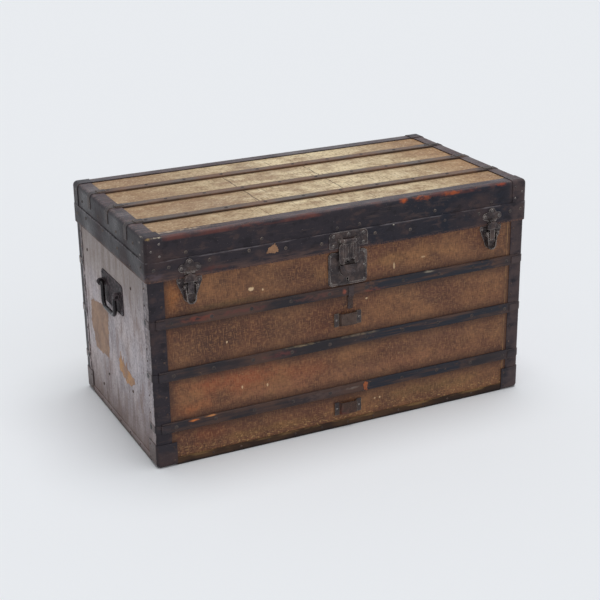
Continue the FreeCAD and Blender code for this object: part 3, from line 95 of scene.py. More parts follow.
class Finish:
    """One material under way. Each call adds nodes and returns the socket that carries the result."""

    def __init__(self, name, gloss, **fixed):
        self.material = bpy.data.materials.new(name)
        self.material.use_nodes = True
        self.tree = self.material.node_tree
        self.shader = self.tree.nodes["Principled BSDF"]
        fixed["Specular_IOR_Level"] = gloss
        for socket, value in fixed.items():
            self.shader.inputs[socket.replace("_", " ")].default_value = value
        self.place = self.put("ShaderNodeTexCoord", {}).outputs["Object"]
        self.x, self.y, self.z = self.put("ShaderNodeSeparateXYZ", {0: self.place}).outputs

    def put(self, kind, inputs, **settings):
        return put(self.tree, kind, inputs, **settings)

    def math(self, operation, first, second=0.0):
        return self.put("ShaderNodeMath", {0: first, 1: second}, operation=operation).outputs[0]

    def times(self, first, *others):
        for other in others:
            first = self.math("MULTIPLY", first, other)
        return first

    def plus(self, first, *others):
        for other in others:
            first = self.math("ADD", first, other)
        return first

    def less(self, first, second):
        return self.math("SUBTRACT", first, second)

    def least(self, first, second):
        return self.math("MINIMUM", first, second)

    def size(self, value):
        return self.math("ABSOLUTE", value)

    def away(self, value, *centres):
        """Distance from the nearest of some centres along one axis."""
        nearest, *others = [self.size(self.less(value, centre)) for centre in centres]
        for other in others:
            nearest = self.least(nearest, other)
        return nearest

    def noise(self, scale, detail=4, stretch=(1, 1, 1), shift=(0, 0, 0), roughness=0.55, turn=0.0):
        """Cloudy values about one half. A small number in stretch draws the clouds out along that axis."""
        view = {"Vector": self.place, "Scale": stretch, "Location": shift, "Rotation": (0, 0, turn)}
        place = self.put("ShaderNodeMapping", view).outputs[0]
        cloud = {"Vector": place, "Scale": scale, "Detail": detail, "Roughness": roughness}
        return self.put("ShaderNodeTexNoise", cloud).outputs["Fac"]

    def wander(self, noise, reach):
        """Noise that goes to both sides of zero."""
        return self.times(self.less(noise, 0.5), reach)

    def fade(self, value, start, end):
        """0 at start and before it, 1 at end and past it."""
        span = {"Value": value, "From Min": start, "From Max": end}
        return self.put("ShaderNodeMapRange", span, interpolation_type="SMOOTHSTEP").outputs[0]

    def span(self, value, low, high, soft):
        """1 from low to high, and 0 further than soft outside them."""
        return self.times(self.fade(value, low - soft, low), self.fade(value, high + soft, high))

    def blot(self, centre, radii, ragged, grain, edge):
        """A patch with a ragged edge: 1 in the middle and 0 outside."""
        view = {"Vector": self.place, "Location": centre, "Scale": radii}
        place = self.put("ShaderNodeMapping", view, vector_type="TEXTURE").outputs[0]
        reach = self.put("ShaderNodeVectorMath", {0: place}, operation="LENGTH").outputs["Value"]
        return self.fade(self.plus(reach, self.wander(self.noise(grain, 3), 2 * ragged)), 1.0, edge)

    def mix(self, share, first, second):
        """Two colours mixed. Each is a socket, or a colour as it is seen on a screen."""
        first, second = (tone(*shade) if isinstance(shade, tuple) else shade for shade in (first, second))
        return self.put("ShaderNodeMix", {0: share, 6: first, 7: second}, data_type="RGBA").outputs[2]

    def tint(self, colour, shade, *shares):
        """Lay a shade on a colour, as strong as the product of the shares."""
        return self.mix(self.times(*shares), colour, shade)

    def coats(self, colour, *rows):
        """Coats on a colour: each has a pattern, where that begins and is full, a strength and a shade."""
        for pattern, start, end, strength, shade in rows:
            colour = self.tint(colour, shade, self.fade(pattern, start, end), strength)
        return colour

    def weave(self, along, across, pitch):
        """The raised crossings of a plain weave, from -1 to 1."""
        turns = math.pi / pitch
        return self.times(*(self.math("SINE", self.times(axis, turns)) for axis in (along, across)))

    def rims(self, radius):
        """1 along the edges of a piece, found by comparing its normal with a rounded one."""
        soft = self.put("ShaderNodeBevel", {"Radius": radius}, samples=4).outputs[0]
        flat = self.put("ShaderNodeNewGeometry", {}).outputs["True Normal"]
        dot = self.put("ShaderNodeVectorMath", {0: soft, 1: flat}, operation="DOT_PRODUCT")
        return self.fade(dot.outputs["Value"], 0.985, 0.8)

    def finish(self, colour, roughness, height, depth):
        bump = self.put("ShaderNodeBump", {"Height": height, "Distance": depth}).outputs[0]
        for name, result in (("Base Color", colour), ("Roughness", roughness), ("Normal", bump)):
            self.tree.links.new(result, self.shader.inputs[name])
        return self.material


def dress(material, *names):
    """Give CAD nodes a finish."""
    for name in names:
        nodes[name].data.materials.clear()
        nodes[name].data.materials.append(material)
    print(material.name, "on", ", ".join(names))


# %% [markdown]
# ## Where things are
# Patterns such as rubbed slat edges need to know where the slats lie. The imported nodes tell: the middle and
# the faces of their boxes are measured once here, so that nothing is copied by hand.

# %% Measured places
FRONT = Vector((0, -1, 0))
BACK = Vector((0, 1, 0))
LEFT = Vector((-1, 0, 0))
RIGHT = Vector((1, 0, 0))
TOP = Vector((0, 0, 1))


def middle(name):
    low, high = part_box(name)
    return (low + high) / 2


BOTH = (-1, 1)
SIDES = (("left", -1), ("right", 1))
FRONT_SLATS = [middle(f"front_slat_{row}").z for row in ("lower", "middle", "upper")]
LOWER, MIDDLE, UPPER = FRONT_SLATS
TOP_SLATS = [middle(f"top_slat_{row}").y for row in ("front", "middle", "back")]
SLAT_HALF = (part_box("front_slat_lower")[1].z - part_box("front_slat_lower")[0].z) / 2
SLAT_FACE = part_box("front_slat_lower")[0].y
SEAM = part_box("lid_front_band")[0].z
BAND_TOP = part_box("lid_front_band")[1].z
END_FACE = -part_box("left_end_canvas")[0].x
FRONT_FACE = -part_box("front_canvas")[0].y
LEG_WIDTH = 0.030
LEG_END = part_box("front_canvas")[1].y + LEG_WIDTH
LID_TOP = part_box("lid_canvas")[1].z
print("slat heights", [round(z, 4) for z in FRONT_SLATS])
print("seam", round(SEAM, 4), "lid top", round(LID_TOP, 4))

# %% [markdown]
# ## Rust brown canvas
# The front and back are cotton canvas, painted and varnished, and rubbed by a century of handling. An image
# of cloth would repeat, so the weave is two sine waves crossed, the slubs are noise drawn out along the
# threads, and the stains are ragged patches set where the cloth is browner, redder or more golden. A darker
# rim beside the slats and at the ends of the panels is painted shade.

# %% Front and back canvas
BROWN = (110, 73, 57)
GOLD = (144, 100, 68)
DARK_BROWN = (82, 56, 47)
RED_BROWN = (138, 76, 52)
OLIVE = (120, 100, 60)
PALE_FLECK = (196, 164, 122)
BLOTCH = (92, 57, 45)
THREAD_DARK = (64, 44, 38)
THREAD_PALE = (170, 124, 84)
CHIP = (222, 190, 150)
# A stain or a chip: place along the front, height, two half sizes, a stain's shade, and strength.
STAINS = (
    (-0.385, 0.354, 0.026, 0.050, (176, 112, 62), 0.80),
    (-0.392, 0.260, 0.010, 0.060, (150, 94, 60), 0.60),
    (-0.270, 0.327, 0.120, 0.012, OLIVE, 0.55),
    (-0.150, 0.361, 0.150, 0.045, DARK_BROWN, 0.50),
    (-0.262, 0.350, 0.024, 0.040, (152, 106, 72), 0.55),
    (-0.060, 0.350, 0.035, 0.030, (134, 96, 64), 0.55),
    (0.175, 0.359, 0.130, 0.034, (150, 106, 70), 0.70),
    (0.104, 0.362, 0.042, 0.026, (166, 122, 80), 0.55),
    (0.380, 0.360, 0.030, 0.045, (104, 72, 55), 0.60),
    (-0.300, 0.254, 0.130, 0.050, DARK_BROWN, 0.85),
    (-0.145, 0.252, 0.095, 0.050, DARK_BROWN, 0.60),
    (-0.050, 0.259, 0.080, 0.055, BLOTCH, 0.70),
    (-0.004, 0.280, 0.020, 0.020, (62, 44, 40), 0.85),
    (0.085, 0.250, 0.050, 0.040, GOLD, 0.45),
    (0.215, 0.264, 0.090, 0.045, (98, 66, 54), 0.75),
    (0.340, 0.249, 0.060, 0.040, GOLD, 0.30),
    (-0.250, 0.159, 0.160, 0.044, (154, 86, 58), 0.85),
    (-0.100, 0.142, 0.090, 0.045, (148, 88, 62), 0.55),
    (-0.345, 0.117, 0.080, 0.024, (170, 104, 66), 0.80),
    (-0.340, 0.150, 0.030, 0.016, (160, 112, 74), 0.50),
    (-0.020, 0.117, 0.120, 0.020, GOLD, 0.45),
    (0.200, 0.160, 0.160, 0.034, (112, 77, 62), 0.60),
    (0.372, 0.146, 0.036, 0.045, (148, 106, 74), 0.60),
    (-0.330, 0.054, 0.070, 0.030, RED_BROWN, 0.45),
    (0.000, 0.122, 0.420, 0.028, (152, 104, 80), 0.45),
    (0.200, 0.047, 0.180, 0.022, OLIVE, 0.40),
    (-0.180, 0.036, 0.160, 0.012, (140, 104, 62), 0.50),
)
CHIPS = (
    (-0.215, 0.349, 0.0070, 0.0050, 1.0),
    (-0.190, 0.344, 0.0026, 0.0026, 0.9),
    (-0.271, 0.246, 0.0024, 0.0034, 0.9),
    (-0.241, 0.141, 0.0022, 0.0044, 0.8),
    (-0.185, 0.134, 0.0022, 0.0044, 0.8),
    (0.110, 0.344, 0.0028, 0.0085, 0.6),
    (0.180, 0.352, 0.0060, 0.0024, 0.5),
    (0.045, 0.283, 0.0034, 0.0022, 0.8),
    (0.066, 0.050, 0.0026, 0.0022, 0.8),
    (0.078, 0.050, 0.0022, 0.0030, 0.8),
)
FRONT_ONLY = 0.2
THREAD = 0.0016
PANEL_END = 0.398
SEWN_IN = 0.007


def rust_canvas():
    f = Finish("rust_canvas", 0.25)
    clouds = f.noise(9, 6)
    grain = f.noise(150, 4, (1, 1, 0.8))
    warp = f.noise(430, 2, (1, 1, 0.20))
    weft = f.noise(430, 2, (0.20, 1, 1), (3, 0, 0))
    grime = f.noise(38, 5, shift=(5, 0, 2))
    smoke = f.noise(17, 5, (0.7, 1, 1), (1, 0, 6))
    flecks = f.noise(420, 2)
    patchy = f.fade(f.noise(14, 3, shift=(0, 0, 4)), 0.45, 0.65)
    scratches = f.noise(330, 3, (0.5, 1, 1), (2, 0, 7))

    def on_front(x, z, half_x, half_z, *edge):
        return f.blot((x, -FRONT_FACE, z), (half_x, FRONT_ONLY, half_z), *edge)

    colour = f.mix(f.fade(clouds, 0.38, 0.68), BROWN, GOLD)
    for *patch, shade, strength in STAINS:
        colour = f.tint(colour, shade, on_front(*patch, 0.65, 30.0, 0.1), strength)
    # Painted shade: the rim coat below darkens the cloth within about 22 mm of the slats and of the panel
    # ends.
    to_slat = f.less(f.away(f.z, *FRONT_SLATS), SLAT_HALF)
    to_end = f.less(PANEL_END, f.size(f.x))
    rim = f.plus(f.least(to_slat, to_end), f.wander(grime, 0.012))
    sewn = f.times(f.span(to_end, SEWN_IN, SEWN_IN + 0.0012, 0.001), f.fade(f.x, -0.1, 0.1), 0.55)
    low = f.span(f.plus(f.z, f.wander(grime, 0.030)), 0.016, 0.030, 0.016)
    colour = f.coats(
        colour,
        (grime, 0.48, 0.7, 0.5, DARK_BROWN),
        (smoke, 0.5, 0.68, 0.45, (88, 60, 50)),
        (warp, 0.54, 0.68, 0.46, THREAD_DARK),
        (warp, 0.46, 0.34, 0.46, THREAD_PALE),
        (weft, 0.54, 0.68, 0.34, THREAD_DARK),
        (weft, 0.46, 0.34, 0.34, THREAD_PALE),
        (grain, 0.54, 0.7, 0.25, (66, 45, 37)),
        (grain, 0.46, 0.32, 0.25, (170, 122, 80)),
        (flecks, 0.64, 0.72, f.times(patchy, 0.6), PALE_FLECK),
        # painted shade beside the slats and the panel ends
        (rim, 0.022, 0.0, 0.6, (64, 46, 41)),
        (grime, 0.34, 0.6, sewn, (170, 130, 86)),
        (scratches, 0.56, 0.66, f.times(low, 0.75), (186, 148, 98)),
    )
    for *patch, strength in CHIPS:
        colour = f.tint(colour, CHIP, on_front(*patch, 0.6, 320.0, 0.6), strength)
    weave = f.times(f.weave(f.x, f.z, THREAD), 0.25)
    height = f.plus(weave, grain, warp, weft, f.times(grime, 0.5))
    return f.finish(colour, f.fade(clouds, 1.6, -0.4), height, 0.0007)


dress(rust_canvas(), "front_canvas", "back_canvas")

# %% [markdown]
# ## Grey canvas of the ends
# The ends were painted grey over canvas. The paint has run and worn in upright streaks, is flecked with dark
# marks and grows darker towards the floor and towards the lid. The same paint covers the legs of the fibre
# corners, so it is a function that the corner finish can use too.

# %% End canvas
GREY = (202, 190, 190)
GREY_COOL = (180, 173, 179)
GREY_DARK = (134, 121, 121)
END_LOW_GREY = (116, 97, 91)


def grey_paint(f):
    """The colour, the roughness and the relief of the grey end paint."""
    clouds = f.noise(8, 5)
    streaks = f.noise(90, 5, (1, 1, 0.14))
    fine = f.noise(380, 3, (1, 1, 0.30), (2, 1, 0))
    grain = f.noise(200, 4, shift=(0, 3, 1))
    scuffs = f.noise(30, 6, (1, 1, 0.45), (0, 4, 1))
    specks = f.noise(260, 2, (1, 1, 0.6), (4, 0, 2))
    height = f.plus(f.z, f.wander(clouds, 0.16))
    colour = f.coats(
        f.mix(f.fade(clouds, 0.38, 0.64), GREY_COOL, GREY),
        (streaks, 0.46, 0.66, 0.6, GREY_DARK),
        (grain, 0.5, 0.66, 0.45, (122, 107, 105)),
        (grain, 0.44, 0.32, 0.4, (230, 221, 221)),
        (fine, 0.56, 0.68, 0.55, (104, 92, 93)),
        (fine, 0.42, 0.3, 0.35, (228, 220, 220)),
        (scuffs, 0.52, 0.66, 0.6, (150, 130, 124)),
        (scuffs, 0.46, 0.34, 0.4, (222, 212, 214)),
        (specks, 0.7, 0.76, 0.8, (58, 50, 54)),
        # Darker towards the floor, and again towards the lid.
        (height, 0.15, 0.0, 0.8, END_LOW_GREY),
        (height, 0.25, 0.38, 0.7, (136, 124, 117)),
    )
    return colour, f.fade(streaks, -0.5, 1.4), f.plus(fine, streaks)


def end_canvas():
    f = Finish("grey_end_canvas", 0.15)
    colour, rough, relief = grey_paint(f)
    under_lid = f.fade(f.z, SEAM - 0.007, SEAM - 0.003)
    patchy = f.noise(30, 4, (1, 0.4, 1))
    colour = f.coats(colour, (patchy, 0.44, 0.58, f.times(under_lid, 0.7), (232, 222, 212)))
    height = f.plus(f.times(f.weave(f.y, f.z, THREAD), 0.3), relief)
    return f.finish(colour, rough, height, 0.0005)


dress(end_canvas(), "left_end_canvas", "right_end_canvas")

# %% [markdown]
# ## Straw coloured lid
# Light has bleached the middle of the lid, while the ends stay browner. Two seams run across it, and things
# that were slid over it left slanting scratches. The scratches are noise drawn out along one direction, which
# is turned from the depth of the trunk towards its length.

# %% Lid canvas
STRAW = (194, 173, 140)
STRAW_PALE = (224, 206, 170)
STRAW_BROWN = (158, 129, 101)
LID_SEAMS = (-0.133, 0.062)
SCRATCH_TURN = math.radians(38)
SCRATCH_DRAWN = (1, 0.06, 1)


def lid_canvas():
    f = Finish("straw_lid_canvas", 0.2)
    clouds = f.noise(7, 6)
    mottle = f.noise(42, 7, (0.8, 1, 1), roughness=0.68)
    threads = f.noise(300, 3, (0.2, 1, 1))
    grain = f.noise(210, 4, shift=(2, 0, 0))
    dirt = f.noise(24, 6, (0.35, 1, 1), (3, 1, 0))
    flecks = f.noise(300, 2, shift=(1, 2, 0))
    slanted = f.noise(210, 2, SCRATCH_DRAWN, roughness=0.5, turn=SCRATCH_TURN)
    straight = f.noise(260, 2, SCRATCH_DRAWN, roughness=0.5)
    along = f.plus(f.size(f.plus(f.x, -0.05)), f.wander(clouds, 0.30))
    to_right = f.plus(f.x, f.times(clouds, 0.2))
    used = f.fade(along, 0.36, 0.16)
    seam_x = f.plus(f.x, f.wander(f.noise(30, 2), 0.008))
    seam = f.times(f.fade(f.away(seam_x, *LID_SEAMS), 0.0018, 0.0006), f.fade(f.size(f.y), 0.112, 0.100))
    to_slat = f.plus(f.less(f.away(f.y, *TOP_SLATS), SLAT_HALF), f.wander(mottle, 0.012))
    colour = f.coats(
        f.mix(f.fade(along, 0.22, 0.06), STRAW, STRAW_PALE),
        (along, 0.2, 0.36, 0.85, STRAW_BROWN),
        (to_right, 0.3, 0.5, 0.6, (164, 122, 84)),
        (clouds, 0.5, 0.7, 0.5, (150, 120, 88)),
        (mottle, 0.48, 0.64, 0.6, (138, 108, 80)),
        (dirt, 0.52, 0.66, 0.5, (136, 102, 76)),
        (threads, 0.54, 0.72, 0.4, (132, 108, 80)),
        (grain, 0.52, 0.66, 0.6, (116, 90, 66)),
        (grain, 0.44, 0.32, 0.4, (228, 212, 180)),
        (mottle, 0.46, 0.32, f.plus(f.times(used, 0.5), 0.15), (232, 216, 184)),
        (slanted, 0.64, 0.7, f.times(used, 0.6), (104, 84, 62)),
        (straight, 0.66, 0.72, f.times(used, 0.6), (112, 90, 66)),
        (slanted, 0.34, 0.28, f.times(used, 0.35), (232, 220, 192)),
        (flecks, 0.68, 0.75, 0.6, (86, 66, 50)),
    )
    colour = f.tint(colour, (76, 58, 44), seam, 0.8)
    colour = f.coats(colour, (to_slat, 0.010, 0.0, 0.60, (116, 92, 68)))
    height = f.plus(f.times(f.weave(f.x, f.y, THREAD), 0.25), f.less(threads, f.times(seam, 1.5)))
    return f.finish(colour, f.fade(clouds, 1.5, -0.3), height, 0.0006)


dress(lid_canvas(), "lid_canvas")

# %% [markdown]
# ## Black fibre
# Bindings and bands are vulcanised fibre, painted black. Where the paint is rubbed it turns brown or purple
# grey, and where it is lost the red fibre shows. The light line along the top edge of a band is rubbed paint
# and a painted highlight. One function paints them all, and another adds the worn patches of each piece: its
# centre, its half sizes, a shade and a strength.

# %% Fibre bindings and bands
BLACK = (50, 45, 51)
BLUE_BLACK = (36, 38, 48)
BROWN_BLACK = (79, 63, 61)
RUBBED = (124, 112, 112)
RED_FIBRE = (148, 76, 48)
DULL_RED = (110, 62, 54)
FIBRE_GLOSS = 0.14


def black_paint(f):
    """Old black paint, browner to the left: its colour, roughness, relief, brush marks and specks."""
    clouds = f.noise(11, 6, (0.6, 1, 1))
    brush = f.noise(150, 4, (0.15, 1, 1))
    speck = f.noise(330, 3)
    mottle = f.noise(48, 6, (0.7, 1, 1), (0, 2, 5))
    bluer = f.fade(f.plus(f.x, f.wander(clouds, 0.9)), -0.15, 0.25)
    colour = f.coats(
        f.tint(BLACK, BLUE_BLACK, bluer, f.fade(f.x, 0.40, 0.36)),
        (clouds, 0.52, 0.7, 0.6, BROWN_BLACK),
        (mottle, 0.52, 0.68, 0.6, BROWN_BLACK),
        (mottle, 0.46, 0.34, 0.6, (34, 31, 36)),
        (brush, 0.56, 0.72, 0.45, (84, 70, 68)),
        (speck, 0.66, 0.74, 0.5, RUBBED),
        (mottle, 0.3, 0.6, f.fade(f.x, 0.385, 0.4), (78, 65, 65)),
        (f.x, -0.426, -0.431, 0.45, (34, 29, 32)),
    )
    return colour, f.fade(clouds, -0.25, 1.35), f.plus(brush, f.times(speck, 0.6)), brush, speck


def worn(f, colour, patches, grain=70.0):
    """Patches of wear, broken up by a finer noise."""
    broken = f.fade(f.noise(190, 5, (0.4, 1, 1), (6, 0, 0)), 0.34, 0.58)
    for centre, radii, shade, strength in patches:
        colour = f.tint(colour, shade, f.blot(centre, radii, 0.8, grain, 0.2), broken, strength)
    return colour


# %% Edges and bands of the lid
EDGE_Y = -0.2290
EDGE_Z = LID_TOP - 0.0005
EDGE_WEAR = (
    ((-0.345, -0.2055, LID_TOP + 0.002), (0.070, 0.0055, 0.010), (186, 166, 140), 0.85),
    ((-0.215, EDGE_Y, EDGE_Z), (0.040, 0.008, 0.006), (110, 62, 52), 0.5),
    ((-0.090, EDGE_Y, EDGE_Z - 0.003), (0.030, 0.008, 0.006), DULL_RED, 0.5),
    ((0.130, EDGE_Y, EDGE_Z - 0.001), (0.012, 0.008, 0.010), (168, 82, 46), 1.0),
    ((0.174, EDGE_Y, EDGE_Z - 0.002), (0.030, 0.008, 0.0080), RED_FIBRE, 0.95),
    ((0.248, EDGE_Y, EDGE_Z - 0.001), (0.030, 0.008, 0.0065), RED_FIBRE, 1.0),
    ((0.300, EDGE_Y, EDGE_Z), (0.020, 0.007, 0.004), DULL_RED, 0.8),
    ((0.370, EDGE_Y, EDGE_Z + 0.001), (0.018, 0.008, 0.006), (138, 64, 46), 0.95),
)
BAND_WEAR = (
    ((-0.300, -0.233, SEAM + 0.011), (0.040, 0.02, 0.008), (86, 52, 50), 0.7),
    ((-0.420, -0.233, SEAM + 0.011), (0.030, 0.05, 0.010), (96, 84, 92), 0.5),
    ((-0.434, -0.120, SEAM + 0.011), (0.020, 0.06, 0.008), (84, 72, 75), 0.4),
    ((-0.434, 0.060, SEAM + 0.020), (0.020, 0.08, 0.010), (74, 68, 74), 0.4),
    ((0.105, -0.233, SEAM + 0.037), (0.003, 0.02, 0.0025), (206, 196, 180), 1.0),
)


def lid_edge_fibre():
    f = Finish("worn_lid_edge_fibre", FIBRE_GLOSS)
    colour, rough, relief, brush, speck = black_paint(f)
    flat = f.fade(f.z, LID_TOP - 0.001, LID_TOP + 0.0015)
    corner = f.times(f.span(f.z, LID_TOP - 0.004, LID_TOP + 0.02, 0.004), f.fade(f.y, -0.218, -0.225))
    colour = f.coats(
        colour,
        (brush, 0.3, 0.66, f.times(flat, 0.8), (92, 80, 84)),
        (speck, 0.5, 0.7, f.times(flat, 0.5), (128, 104, 90)),
        (f.noise(20, 5, (0.5, 1, 1), (7, 0, 0)), 0.46, 0.6, f.times(corner, 0.55), DULL_RED),
    )
    return f.finish(worn(f, colour, EDGE_WEAR, 110.0), rough, relief, 0.0006)


def band_fibre():
    f = Finish("black_band_fibre", FIBRE_GLOSS)
    colour, rough, relief, brush, speck = black_paint(f)
    # A light line along the band's top edge: rubbed paint and a painted highlight.
    rim = f.span(f.z, BAND_TOP - 0.0018, BAND_TOP + 0.01, 0.0012)
    front_left = f.times(f.fade(f.y, -0.2, -0.21), f.fade(f.x, 0.06, -0.04))
    low = f.times(f.fade(f.z, SEAM + 0.026, SEAM + 0.006), front_left)
    foot = f.fade(f.z, SEAM + 0.006, SEAM)
    colour = f.coats(
        colour,
        (brush, 0.42, 0.64, f.times(rim, 0.7), (112, 106, 110)),
        (brush, 0.36, 0.62, f.times(low, 0.5), (108, 84, 76)),
        (speck, 0.4, 0.6, f.times(foot, 0.8), (112, 80, 67)),
    )
    return f.finish(worn(f, colour, BAND_WEAR), rough, relief, 0.0006)


dress(lid_edge_fibre(), "lid_edge_bindings")
dress(band_fibre(), *(f"lid_{side}_band" for side in ("front", "back", "left", "right")))


# %% Corners and floor strip
def on_ends(f, soft):
    """1 on the end faces of the trunk, and 0 on its front and back."""
    return f.fade(f.size(f.x), END_FACE - 0.001, END_FACE + soft)


def corner_fibre():
    """Black on the front and round the corner, and grey where the end's paint ran over its leg."""
    f = Finish("painted_corner_fibre", FIBRE_GLOSS)
    black, rough, relief, brush, speck = black_paint(f)
    grey, grey_rough = grey_paint(f)[:2]
    ragged = f.wander(f.noise(55, 4), 0.007)
    on_end = on_ends(f, 0.0008)
    depth = f.plus(f.y, ragged)
    painted = f.times(on_end, f.fade(depth, -0.2250, -0.2235), f.fade(depth, 0.2065, 0.2050))
    to_leg = f.plus(f.size(f.y), LEG_END, f.times(ragged, 0.4))
    edge = f.times(on_end, f.fade(f.size(to_leg), 0.0018, 0.0006))
    colour = f.coats(
        f.mix(painted, black, grey),
        (brush, 0.3, 0.6, f.times(painted, f.fade(f.z, 0.13, 0.24), 0.8), (104, 98, 102)),
        (brush, 0.4, 0.56, edge, (70, 62, 64)),
        (speck, 0.6, 0.66, f.times(painted, 0.6), (78, 70, 72)),
    )
    rough = f.put("ShaderNodeMix", {0: painted, 2: rough, 3: grey_rough}).outputs[0]
    return f.finish(colour, rough, relief, 0.0005)


def bottom_fibre():
    """The strip along the floor: brown on the front with a yellow rubbed upper edge, grey on the ends."""
    f = Finish("worn_bottom_fibre", 0.1)
    rough, relief, brush, speck = black_paint(f)[1:]
    clouds = f.noise(22, 5, (0.4, 1, 1), (0, 0, 3))
    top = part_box("bottom_bindings")[1].z
    upper_edge = f.fade(f.plus(f.z, f.times(clouds, 0.008)), top - 0.003, top + 0.002)
    brown = f.coats(
        f.mix(f.fade(clouds, 0.40, 0.62), (58, 44, 38), (84, 63, 48)),
        (brush, 0.42, 0.62, f.times(upper_edge, 0.55), (158, 124, 82)),
        (f.plus(f.z, f.times(clouds, 0.012)), 0.014, 0.008, 1.0, (46, 39, 38)),
        (speck, 0.6, 0.7, 0.5, (58, 43, 36)),
    )
    grey = f.coats(grey_paint(f)[0], (f.z, 0.012, 0.0, 1.0, (78, 66, 62)))
    return f.finish(f.mix(on_ends(f, 0.0005), brown, grey), rough, relief, 0.0006)


dress(corner_fibre(), "corner_bindings")
dress(bottom_fibre(), "bottom_bindings")

# %% [markdown]
# ## Slats
# The slats are wood under dark paint. The paint wears first along their edges, where the brown wood then
# shows in streaks that follow the grain. Their edges and sides are darkened too, partly by kept paint and
# partly as painted shade. The edge is found from the distance to the slat's own middle line.

# %% Slat finishes
WOOD_WARM = (112, 80, 62)
WOOD_RED = (126, 68, 54)
SLAT_BLACK = (42, 39, 44)
SLAT_BROWN = (68, 53, 51)
SLAT_EDGE_PAINT_AND_SHADE = (54, 44, 42)
KEPT_PAINT = (39, 41, 50)
PATCH_DEPTH = 0.02


def slat_paint(name, axis, centres, brown_share, patches=(), ground=(SLAT_BLACK, SLAT_BROWN),
               rim=SLAT_EDGE_PAINT_AND_SHADE, kept=None):
    """Worn paint along a slat. It is kept blue black from one place to another, where those are given."""
    f = Finish(name, 0.2)
    grain = f.noise(170, 5, (0.05, 1, 1))
    clouds = f.noise(10, 5, (0.6, 1, 1))
    chips = f.noise(200, 5, (0.45, 1, 1))
    off_middle = f.plus(f.away(getattr(f, axis), *centres), f.wander(clouds, 0.010))
    colour = f.coats(
        f.mix(f.fade(clouds, 0.38, 0.62), *ground),
        (f.plus(clouds, f.wander(grain, 0.5)), 0.4, 0.58, brown_share, WOOD_WARM),
        (grain, 0.44, 0.3, 0.55, (42, 37, 40)),
    )
    if kept:
        painted = f.span(f.plus(f.x, f.wander(chips, 0.12)), *kept, 0.03)
        colour = f.coats(colour, (grain, 0.66, 0.46, painted, KEPT_PAINT))
    tips = f.times(f.fade(f.size(f.x), 0.355, 0.390), 0.55)
    # Edges and sides darkened: partly kept paint, partly painted shade.
    edge = f.times(f.fade(off_middle, SLAT_HALF - 0.004, SLAT_HALF + 0.001), 0.30 + 0.5 * brown_share)
    colour = f.coats(
        colour,
        (grain, 0.7, 0.5, tips, KEPT_PAINT),
        (chips, 0.46, 0.66, edge, rim),
        (chips, 0.66, 0.76, 0.6, (132, 104, 84)),
    )
    height = f.plus(grain, f.times(chips, 0.5))
    return f.finish(worn(f, colour, patches), f.fade(clouds, -0.3, 1.5), height, 0.0007)


# %% Wear of the front slats
# A row of wear: place along the slat, place above its middle, two half sizes, shade and strength.
UPPER_WEAR = (
    (-0.330, 0, 0.050, 0.009, WOOD_RED, 0.75),
    (-0.250, 0, 0.080, 0.008, (106, 62, 57), 0.6),
    (-0.080, 0, 0.060, 0.009, (104, 66, 60), 0.6),
    (-0.009, -0.002, 0.006, 0.008, (156, 84, 66), 0.8),
    (0.055, -0.008, 0.040, 0.005, WOOD_RED, 0.7),
    (0.195, 0.009, 0.020, 0.003, (176, 166, 146), 0.5),
)
MIDDLE_WEAR = (
    (-0.150, 0, 0.050, 0.008, (110, 60, 58), 0.6),
    (-0.100, 0.010, 0.060, 0.003, (150, 130, 100), 0.7),
    (0.030, 0.009, 0.050, 0.004, (150, 132, 108), 0.45),
)
LOWER_WEAR = (
    (-0.349, 0.007, 0.014, 0.0035, (214, 122, 62), 1.0),
    (-0.312, 0.009, 0.016, 0.0025, (204, 138, 84), 0.9),
    (-0.060, 0, 0.090, 0.010, (92, 74, 70), 0.7),
    (0.010, 0.002, 0.022, 0.005, (138, 122, 112), 0.6),
)
FRONT_PAINT = (
    ("upper", UPPER, 0.35, UPPER_WEAR, (0.07, 0.33)),
    ("middle", MIDDLE, 0.30, MIDDLE_WEAR, (0.05, 0.36)),
    ("lower", LOWER, 0.30, LOWER_WEAR, (0.06, 0.26)),
)
TOP_GROUND = ((74, 58, 48), (100, 78, 60))

for row, height, brown_share, wear, kept in FRONT_PAINT:
    patches = [((x, SLAT_FACE, height + above), (long, PATCH_DEPTH, wide), shade, strength)
               for x, above, long, wide, shade, strength in wear]
    paint = slat_paint(f"slat_paint_{row}", "z", [height], brown_share, patches, kept=kept)
    dress(paint, f"front_slat_{row}")
dress(slat_paint("slat_paint_back", "z", FRONT_SLATS, 0.40), "back_slats")
# The top slats' sides are darkened the same way: kept paint and painted shade.
top_paint = slat_paint("slat_paint_top", "y", TOP_SLATS, 0.6, ground=TOP_GROUND, rim=(56, 44, 40))
dress(top_paint, "top_slat_front", "top_slat_middle", "top_slat_back")

# %% [markdown]
# ## Iron and steel
# The fittings are stamped or cast iron under black japan. Handling polishes their edges, and rust browns the
# hollows. The polished edges get a bright tone that is also a painted glint. A Bevel node compares the true
# normal with a rounded one, which picks out the edges on any mesh.

# %% Metal finishes
# Rubbed patches of the lid caps; the pale one on the top front edge is a painted highlight.
CAP_WEAR_AND_HIGHLIGHT = (
    ((-0.407, -0.2300, 0.4865), (0.018, 0.004, 0.0022), (226, 214, 186), 1.0),
    ((-0.425, -0.2290, 0.4855), (0.010, 0.005, 0.0030), (172, 142, 84), 0.9),
    ((-0.4310, -0.2050, 0.4860), (0.004, 0.012, 0.0030), (170, 160, 150), 0.8),
    ((0.4310, -0.2200, 0.4700), (0.004, 0.012, 0.0060), (90, 80, 80), 0.7),
)


